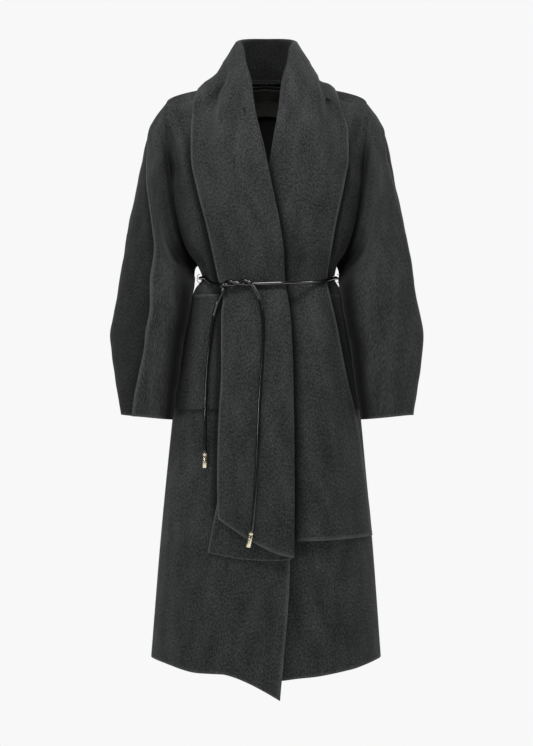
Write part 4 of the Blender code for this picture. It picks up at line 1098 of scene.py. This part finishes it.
def make_sleeve(side):
    name = "right" if side < 0 else "left"
    rings = np.concatenate([np.linspace(0, 1, 14, endpoint=False), np.linspace(1, 9, 92)])
    seam = through(SLEEVE["seam_" + name], rings)[:, None]
    proud = ease(rings, 0.3, 2.4)[:, None]
    start = seam - SEAM_LAP * proud
    ahead, behind = np.linspace(0, 1, 30), np.linspace(0, 1, 34)
    parts = np.concatenate([seam * ahead, start + (2 - start) * behind], axis=1)
    grid = np.zeros((*parts.shape, 3))
    for r, ring in enumerate(rings):
        spots = sleeve_spots(side, parts[r])
        for k in range(3):
            grid[r, :, k] = through(spots[..., k], ring)
    split = len(ahead)
    normal = normals_of_halves(grid, split)
    middle = grid.mean(axis=1, keepdims=True)
    outward = normal * np.sign(((grid - middle) * normal).sum(axis=-1).mean())
    faces_front = np.clip(-outward[..., 1] * 3, 0, 1)
    faces_back = np.clip(outward[..., 1] * 3, 0, 1)
    free = ease(rings, 0.15, 1.0)[:, None]
    push = creased(grid[..., 0], grid[..., 2], sleeve_creases(side)) * (faces_front + 0.8 * faces_back)
    push = push + rippled(grid, 4.1 + side, 0.0008)
    u = measure(grid)[0]
    from_seam = u - u[:, split - 1:split]
    from_seam[:, split:] = u[:, split:] - 2 * u[:, split:split + 1] + u[:, split - 1:split]
    stand = np.where(np.arange(parts.shape[1]) < split, SEAM_STAND, -SEAM_DIP)
    stand = stand * np.exp(-np.abs(from_seam / SEAM_REACH) ** 1.5)
    grid = grid + outward * (stand * proud - push * free)[..., None]
    normal = normals_of_halves(grid, split)
    flush = rings < 0.4
    for one, other, where in ((0, -1, slice(None)), (split - 1, split, flush)):    # underarm, shoulder
        normal[where, one] = normal[where, other] = unit(normal[where, one] + normal[where, other])
    joint = armhole_facing(parts[0])
    sense = np.sign((normal[0] * joint).sum(axis=-1, keepdims=True))
    own = 1 - ease(1 - np.abs(parts[0] - 1), 0.05, 0.22)[:, None]
    normal[0] = unit(joint * np.where(sense < 0, -1, 1) * (1 - own) + normal[0] * own)
    from_top = measure(grid)[1]
    # painted shade in the armhole valley and along the sleeve's inner side
    deep = ease(-grid[..., 2], *ARMHOLE_SHADE)
    inner = np.minimum(parts, 2 - parts)
    face_shade = np.maximum(deep * (1 - ease(from_top, 0.014, 0.030)),
                      (1 - ease(inner, 0.17, 0.36)) * ease(-grid[..., 2], 0.14, 0.24))
    # painted shade on the back part, darkest beside the lapped seam
    back_part_shade = np.where(np.arange(parts.shape[1]) < split, 0.0,
                          0.25 * np.exp(-np.abs(from_seam) / 0.012) + 0.44)
    face_shade = np.maximum(face_shade, back_part_shade * free)
    for half, columns in (("front", slice(0, split)), ("back", slice(split, None))):
        front = half == "front"
        piece, size, area = cloth(f"sleeve_{half}_{name}", grid[:, columns], normal[:, columns], WOOL,
                                  highlight_rims=(0, 1, 0, LAP_HIGHLIGHT if front else 0),
                                  shift=3.1 + side + (0 if front else 0.5),
                                  face_shade=face_shade[:, columns], mirrored=side < 0)
        dress(piece, f"sleeve_{name}_{half}")


make_sleeve(-1)
make_sleeve(1)

# %% [markdown]
# ## The collar and its scarf ends
# Each half of the shawl collar is one long strip.  It starts at the middle of the back, stands up
# round the neck, rolls over, and falls outside; further down it becomes the lapel, passes under the
# belt, and hangs on as a scarf end.  A section across it is drawn as three parts: the stand or
# turned-under part, a tight roll, and the fall, which lies on the front at a small distance.

# %% Tables of the collar
FOLD, FOLD_NECK = 0.0022, 0.0050      # radius of the roll, below the neck and round it
TURN = 0.018                          # width of the part turned under below the neck
END_SWEEP = 1.4                       # how much the right end's lower edge curves
NECK_COLUMNS = ("seam_out", "seam_y", "seam_z", "roll_out", "roll_y", "roll_z",
                "edge_out", "edge_y", "edge_z", "belly")
NECK_ROWS = (
    (-0.0002, 0.0775, 0.0205, -0.0002, 0.0830, 0.1090, -0.0002, 0.1110, -0.040, 0.004),
    (0.0350, 0.0700, 0.0185, 0.0300, 0.0770, 0.1085, 0.0580, 0.1060, -0.036, 0.004),
    (0.0560, 0.0520, 0.0160, 0.0500, 0.0560, 0.1050, 0.1020, 0.0820, -0.018, 0.003),
    (0.0650, 0.0240, 0.0140, 0.0625, 0.0240, 0.0960, 0.1270, 0.0430, -0.002, 0.000),
    (0.0610, -0.0080, 0.0080, 0.0560, -0.0060, 0.0850, 0.1330, 0.0090, 0.0050, 0.000),
    (0.0590, -0.0330, -0.004, 0.0500, -0.0300, 0.0540, 0.1390, -0.0240, -0.010, 0.006),
    (0.0530, -0.0560, -0.022, 0.0395, -0.0540, 0.0180, 0.1445, -0.0560, -0.039, 0.012),
)
UNDER_COLUMNS = ("roll_out", "roll_z", "edge_out", "edge_z", "lift")
UNDER_ROWS = (
    (-0.0120, -0.405, 0.0740, -0.405, 0.0050),
    (-0.0200, -0.560, 0.0760, -0.560, 0.0050),
    (-0.0300, -0.700, 0.0800, -0.700, 0.0042),
    (-0.0430, -0.820, 0.0950, -0.815, 0.0042),
    (-0.0465, -0.880, 0.1065, -0.872, 0.0042),
    (-0.0470, -0.926, 0.1135, -0.913, 0.0042),
)
# Creases of the collar as seen from the front, on the wearer's right and left.
RIGHT_COLLAR_CREASES = (
    (((-0.078, 0.050), (-0.085, 0.020), (-0.095, -0.010), (-0.108, -0.054)), 0.009, 0.0170),
    (((-0.088, 0.044), (-0.096, 0.020), (-0.106, -0.006)), 0.005, -0.0030),
    (((-0.090, 0.062), (-0.102, 0.040), (-0.116, 0.012)), 0.011, 0.0050),
    (((-0.062, 0.030), (-0.074, -0.020), (-0.086, -0.085), (-0.098, -0.150)), 0.013, -0.0125),
    (((-0.045, -0.010), (-0.054, -0.080), (-0.066, -0.150)), 0.014, 0.0075),
    (((-0.042, -0.100), (-0.056, -0.170), (-0.062, -0.260)), 0.016, 0.0015),
    (((0.003, -0.475), (0.005, -0.550), (0.003, -0.635)), 0.006, 0.0022),
    (((-0.080, -0.430), (-0.082, -0.560), (-0.086, -0.720)), 0.006, 0.0016),
    (((-0.045, -0.440), (-0.052, -0.560), (-0.058, -0.700)), 0.012, 0.0014),
    (((0.028, -0.440), (0.036, -0.560), (0.040, -0.700)), 0.008, -0.0010),
)
LEFT_COLLAR_CREASES = (
    (((0.086, 0.050), (0.097, -0.020), (0.106, -0.095)), 0.008, -0.0110),
    (((0.106, 0.034), (0.118, -0.005), (0.126, -0.060)), 0.009, 0.0165),
    (((0.090, 0.062), (0.104, 0.040), (0.118, 0.012)), 0.011, 0.0050),
    (((0.060, -0.060), (0.072, -0.140), (0.078, -0.240)), 0.016, 0.0015),
    (((0.075, -0.410), (0.096, -0.520), (0.118, -0.660)), 0.012, 0.0020),
    (((0.110, -0.420), (0.128, -0.520), (0.150, -0.640)), 0.008, 0.0018),
    (((0.030, -0.410), (0.048, -0.540), (0.060, -0.700)), 0.012, 0.0014),
)


# %% Collar halves
def strip_lines(side):
    """Neck seam, roll line and free edge of one collar at each of its sections, and their lifts."""
    neck = table(NECK_COLUMNS, NECK_ROWS)
    fall = table(FALL_COLUMNS, FALL_RIGHT if side < 0 else FALL_LEFT)
    lines = {part: np.stack([neck[part + k] for k in ("_out", "_y", "_z")], axis=-1)
             for part in ("seam", "roll", "edge")}
    for part in ("roll", "edge"):
        x, z = side * fall[part + "_out"], fall[part + "_z"]
        laid = front_at(x, z, fall[part + "_lift"] + tuck(side, x, z) * TUCK_COLLAR)
        laid[:, 0] *= side
        lines[part] = np.vstack([lines[part], laid])
    turned = lines["roll"][len(NECK_ROWS):] + np.array([TURN, 2 * FOLD + 0.001, -0.002])
    lines["seam"] = np.vstack([lines["seam"], turned])
    none = np.zeros(len(NECK_ROWS))
    count = len(fall["roll_z"])
    pairs = {"roll": (none, fall["roll_lift"]), "edge": (none, fall["edge_lift"]),
             "belly": (neck["belly"], fall["belly"]), "hug": (none, np.ones(count)),
             "fold": (none + FOLD_NECK, np.full(count, FOLD))}
    return lines, {name: np.concatenate(pair) for name, pair in pairs.items()}


def collar_grid(side):
    """The whole strip as a grid: down the strip, and across it from the seam to the free edge."""
    lines, lifts = strip_lines(side)
    last = len(lines["roll"]) - 1
    s = np.concatenate([np.linspace(0, 7, 56, endpoint=False), np.linspace(7, last, 118)])
    start, top, end = (np.stack([through(lines[part][:, k], s) for k in range(3)], axis=-1)
                       for part in ("seam", "roll", "edge"))
    ahead = unit(np.stack([through(line, np.minimum(s + 0.05, last)) - through(line, np.maximum(s - 0.05, 0))
                           for line in lines["roll"].T], axis=-1))
    ahead[0] = (1.0, 0.0, 0.0)
    fold = through(lifts["fold"], s)[:, None]
    back_to_cloth = unit(end - top) + unit(start - top)
    tip = unit(ahead * (back_to_cloth * ahead).sum(axis=-1, keepdims=True) - back_to_cloth)
    behind = unit(np.cross(ahead, tip))
    turned = top + behind * 2 * fold
    columns = [start + (turned - start) * k for k in np.linspace(0, 1, 9)]
    for angle in np.radians((25, 50, 75, 100, 125, 150)):
        columns.append(top + behind * fold + fold * (cos(angle) * behind + sin(angle) * tip))
    across = np.linspace(0, 1, 30) ** 1.15
    hug = through(lifts["hug"], s)[:, None]
    sweep = 1 + (END_SWEEP - 1) * ease(s, last - 1, last)[:, None] * (side < 0)
    out = top[:, :1] + (end[:, :1] - top[:, :1]) * across
    z = top[:, 2:] + (end[:, 2:] - top[:, 2:]) * across ** sweep
    y = top[:, 1:2] + (end[:, 1:2] - top[:, 1:2]) * across
    belly = through(lifts["belly"], s)[:, None] * np.sin(pi * across)
    lift = (through(lifts["roll"], s)[:, None] * (1 - across)
            + through(lifts["edge"], s)[:, None] * across + belly)
    on_front = front_at(side * out, z, lift + tuck(side, side * out, z) * TUCK_COLLAR)[..., 1]
    free = np.stack([out, y, z], axis=-1) - belly[..., None] * behind[:, None, :]
    laid = np.stack([out, on_front, z], axis=-1)
    over = free * (1 - hug[..., None]) + laid * hug[..., None]
    grid = np.concatenate([np.stack(columns, axis=1), over], axis=1)
    grid[..., 0] *= side
    return grid, s, 15


def make_collar(side):
    name = "right" if side < 0 else "left"
    grid, s, first = collar_grid(side)
    normal = grid_normals(grid)
    outward = normal if side > 0 else -normal
    spread = np.linspace(0, 1, grid.shape[1] - first)
    free = np.zeros(grid.shape[1])
    free[first:] = ease(spread, 0.0, 0.15) * (1 - 0.5 * ease(spread, 0.9, 1.0))
    drawn = RIGHT_COLLAR_CREASES if side < 0 else LEFT_COLLAR_CREASES
    push = creased(grid[..., 0], grid[..., 2], drawn) * ease(s, 2.4, 4.0)[:, None]
    push = push + rippled(grid, 6.0 + side, 0.0005)
    grid = grid - outward * (push * free)[..., None]
    normal = grid_normals(grid)
    normal[0, :, 0] = 0.0
    normal[0] = unit(normal[0])
    # painted shade: the stand's inner face, and on the left half the strip beside the right collar's lapping
    # edge
    stand = 1 - ease(np.arange(grid.shape[1]), 8.0, 13.0)
    inside = stand[None, :] * (1 - ease(s, 5.5, 8.0))[:, None]
    if side > 0:
        over = table(FALL_COLUMNS, FALL_RIGHT)
        lapped = beside(grid[..., 0], grid[..., 2], 0.0055 - over["roll_out"], over["roll_z"], 0.0085)
        inside = np.maximum(0.7 * inside, 0.9 * lapped * ease(-grid[..., 2], 0.14, 0.18))
    else:
        inside = 0.7 * inside
    # painted highlight along the collar's free edge and its lower end
    piece, size, area = cloth("collar_half_" + name, grid, normal, WOOL, highlight_rims=(0, 0.5, 0, 1),
                              shift=6.3 + side, face_shade=inside, mirrored=side < 0)
    dress(piece, "collar_" + name)


make_collar(-1)
make_collar(1)

# %% [markdown]
# ## The under layer of the right scarf end, and the pockets
# The right scarf end is double: under the one that shows lies a second, longer and wider layer.
# The pockets are plain patches laid on the fronts, open at the top.  All of them are made from the
# front's own points, moved out, so they follow its curve.

# %% Under layer and pockets
POCKET_TOP, POCKET_BOTTOM, POCKET_LIFT = -0.412, -0.637, CLOTH + 0.0015
POCKET_FROM = {"right": 0.080, "left": 0.100}
HEM_WIDTH, HEM_STAND = 0.016, 0.0009      # a pocket's folded top edge


def make_under_layer():
    rows = table(UNDER_COLUMNS, UNDER_ROWS)
    s, across = np.meshgrid(np.linspace(0, len(UNDER_ROWS) - 1, 84), np.linspace(0, 1, 26), indexing="ij")
    out = through(rows["roll_out"], s) * (1 - across) + through(rows["edge_out"], s) * across
    z = through(rows["roll_z"], s) * (1 - across) + through(rows["edge_z"], s) * across
    z = z - 0.006 * np.sin(pi * across) * ease(s, 4, 5)
    grid = front_at(-out, z, through(rows["lift"], s) + 0 * z)
    # painted highlight along all its rims
    piece, size, area = cloth("scarf_layer_right", grid, grid_normals(grid), WOOL, shift=8.2, mirrored=True)
    dress(piece, "scarf_right_under")


def make_pocket(side):
    name = "right" if side < 0 else "left"
    z = np.linspace(POCKET_TOP, POCKET_BOTTOM, 42)[:, None]
    half = through(SIDE[name], np.interp(-z, -SIDE["z"], np.arange(HEM_ROW + 1)))
    inner = np.arcsin(POCKET_FROM[name] / half)
    angle = inner + (radians(76) - inner) * np.linspace(0, 1, 22)
    x = side * (half + POCKET_LIFT) * np.sin(angle)
    hem = HEM_STAND * (1 - ease(POCKET_TOP - z, HEM_WIDTH - 0.003, HEM_WIDTH))
    grid = front_at(x, z + 0 * x, POCKET_LIFT + hem + 0 * x)
    # painted highlight along the open top; painted shade beside the sleeve and the lapel's edge
    piece, size, area = cloth("patch_pocket_" + name, grid, grid_normals(grid), WOOL, highlight_rims=(1, 0, 0, 0),
                              shift=9.4 + side, face_shade=shaded(side, grid), mirrored=side < 0)
    dress(piece, "pocket_" + name)


make_under_layer()
make_pocket(-1)
make_pocket(1)

# %% [markdown]
# ## Inside the neck
# A blank satin patch sits on the inside of the back, and a narrow strip above it is the loop that
# the coat is hung up by.

# %% Neck patch and hanger loop
PATCH_WIDTH, PATCH_THICK, PATCH_GAP = 0.074, 0.0010, 0.0036
PATCH_ROWS = (0.12, 2.05)
HANGER_WIDTH, HANGER_Y = 0.064, 0.0738
HANGER_Z = (0.0300, 0.0215)


def satin():
    made, nodes, links, shader = new_material("dark_satin", 0.42, 0.4)
    at = stretched(nodes, links, (1.0, 1.0, 1.0))
    threads = nodes.new("ShaderNodeTexWave")
    threads.wave_type = "BANDS"
    threads.bands_direction = "X"
    threads.inputs["Scale"].default_value = 620.0
    threads.inputs["Distortion"].default_value = 0.6
    links.new(at, threads.inputs["Vector"])
    cloud = noise(nodes, links, at, 70.0, 3.0)
    links.new(ramp(nodes, links, cloud, ((0.3, (0.022, 0.022, 0.018)), (0.8, (0.036, 0.036, 0.031)))),
              shader.inputs["Base Color"])
    bump(nodes, links, shader, add_up(nodes, links, cloud, threads.outputs["Fac"], 0.5), 0.0002, 0.6)
    return made


def make_neck_patch(look):
    x = np.linspace(-PATCH_WIDTH / 2, PATCH_WIDTH / 2, 25)
    rows = np.linspace(*PATCH_ROWS, 30)
    row, across = np.meshgrid(rows, x, indexing="ij")
    wall = body(1, row, across)
    outward = -grid_normals(wall)
    pleats = 0.00035 * np.sin(2 * pi * 4.5 * row) * np.sin(pi * (row - rows[0]) / (rows[-1] - rows[0]))
    grid = wall - outward * (CLOTH / 2 + PATCH_GAP + 0.0003 + PATCH_THICK / 2 + pleats)[..., None]
    piece, size, area = cloth("satin_patch", grid[:, ::-1], outward[:, ::-1], look, PATCH_THICK, (0, 0, 0, 0))
    dress(piece, "neck_patch")


def make_hanger_loop(look):
    x = np.linspace(-HANGER_WIDTH / 2, HANGER_WIDTH / 2, 33)
    z = np.linspace(*HANGER_Z, 6)
    height, across = np.meshgrid(z, x, indexing="ij")
    y = HANGER_Y - 0.010 * (across / (HANGER_WIDTH / 2)) ** 2
    grid = np.stack([across, y, height], axis=-1)
    # painted highlight along its top and bottom; painted shade over the whole strip, for the shade inside the
    # neck
    piece, size, area = cloth("hanging_strip", grid, grid_normals(grid), look, PATCH_THICK, (0.3, 0.3, 0, 0),
                              shift=12.0, face_shade=np.full(grid.shape[:2], 0.62))
    dress(piece, "hanger_loop")


make_neck_patch(satin())
make_hanger_loop(WOOL)

# %% [markdown]
# ## The thread loops
# At each side seam a loop of sewing thread holds the belt.  It is worked from a few strands
# twisted together, so it is drawn as two thin strands wound round one arched path.

# %% Thread loops
THREAD = 0.0007
LOOP_OUT, LOOP_FLARE, LOOP_HALF = 0.0088, 0.0012, 0.0085
LOOP_REACH = radians(80)     # of the arch that the loop follows, to either side of its middle
TWISTS, LOOP_POINTS = 16, 120


def thread():
    made, nodes, links, shader = new_material("twisted_thread", 0.8, 0.3)
    cloud = noise(nodes, links, stretched(nodes, links, (0.01, 1.0, 1.0)), 2500.0, 2.0)
    links.new(ramp(nodes, links, cloud, ((0.3, (0.016, 0.016, 0.017)), (0.75, (0.050, 0.050, 0.052)))),
              shader.inputs["Base Color"])
    bump(nodes, links, shader, cloud, 0.0001, 0.5)
    return made


def make_belt_loop(side, look):
    name = "right" if side < 0 else "left"
    wall = SIDE[name][WAIST_ROW] + CLOTH / 2 + 0.0005
    strands = []
    depth = np.array([0.0, 1.0, 0.0])
    angle = np.linspace(-LOOP_REACH, LOOP_REACH, LOOP_POINTS)
    out = LOOP_OUT * np.cos(angle) ** 0.7 + LOOP_FLARE * np.abs(angle) / LOOP_REACH
    height = SIDE["z"][WAIST_ROW] - LOOP_HALF * np.sin(angle) / sin(LOOP_REACH)
    way = np.stack([side * (wall + THREAD + out), 0 * angle, height], axis=-1)
    flat = unit(np.cross(unit(np.gradient(way, axis=0)), depth))
    for strand in (0, 1):
        turn = (np.linspace(0, 2 * pi * TWISTS, LOOP_POINTS) + pi * strand)[:, None]
        wound = way + 0.48 * THREAD * (np.cos(turn) * flat + np.sin(turn) * depth)
        strands.append(tube(f"strand_{name}_{strand}", wound, 0.55 * THREAD, look, sides=8))
    bpy.ops.object.select_all(action="DESELECT")
    for strand in strands:
        strand.select_set(True)
    bpy.context.view_layer.objects.active = strands[0]
    bpy.ops.object.join()
    loop = bpy.context.object
    loop.name = "thread_loop_" + name
    dress(loop, "belt_loop_" + name)
    print(loop.name, len(loop.data.polygons), "faces")


THREAD_LOOK = thread()
make_belt_loop(-1, THREAD_LOOK)
make_belt_loop(1, THREAD_LOOK)

# %% [markdown]
# ## Finish
# The finished coat may stand a little proud of the CAD box and no more.

# %% Finish
bpy.ops.object.select_all(action="DESELECT")
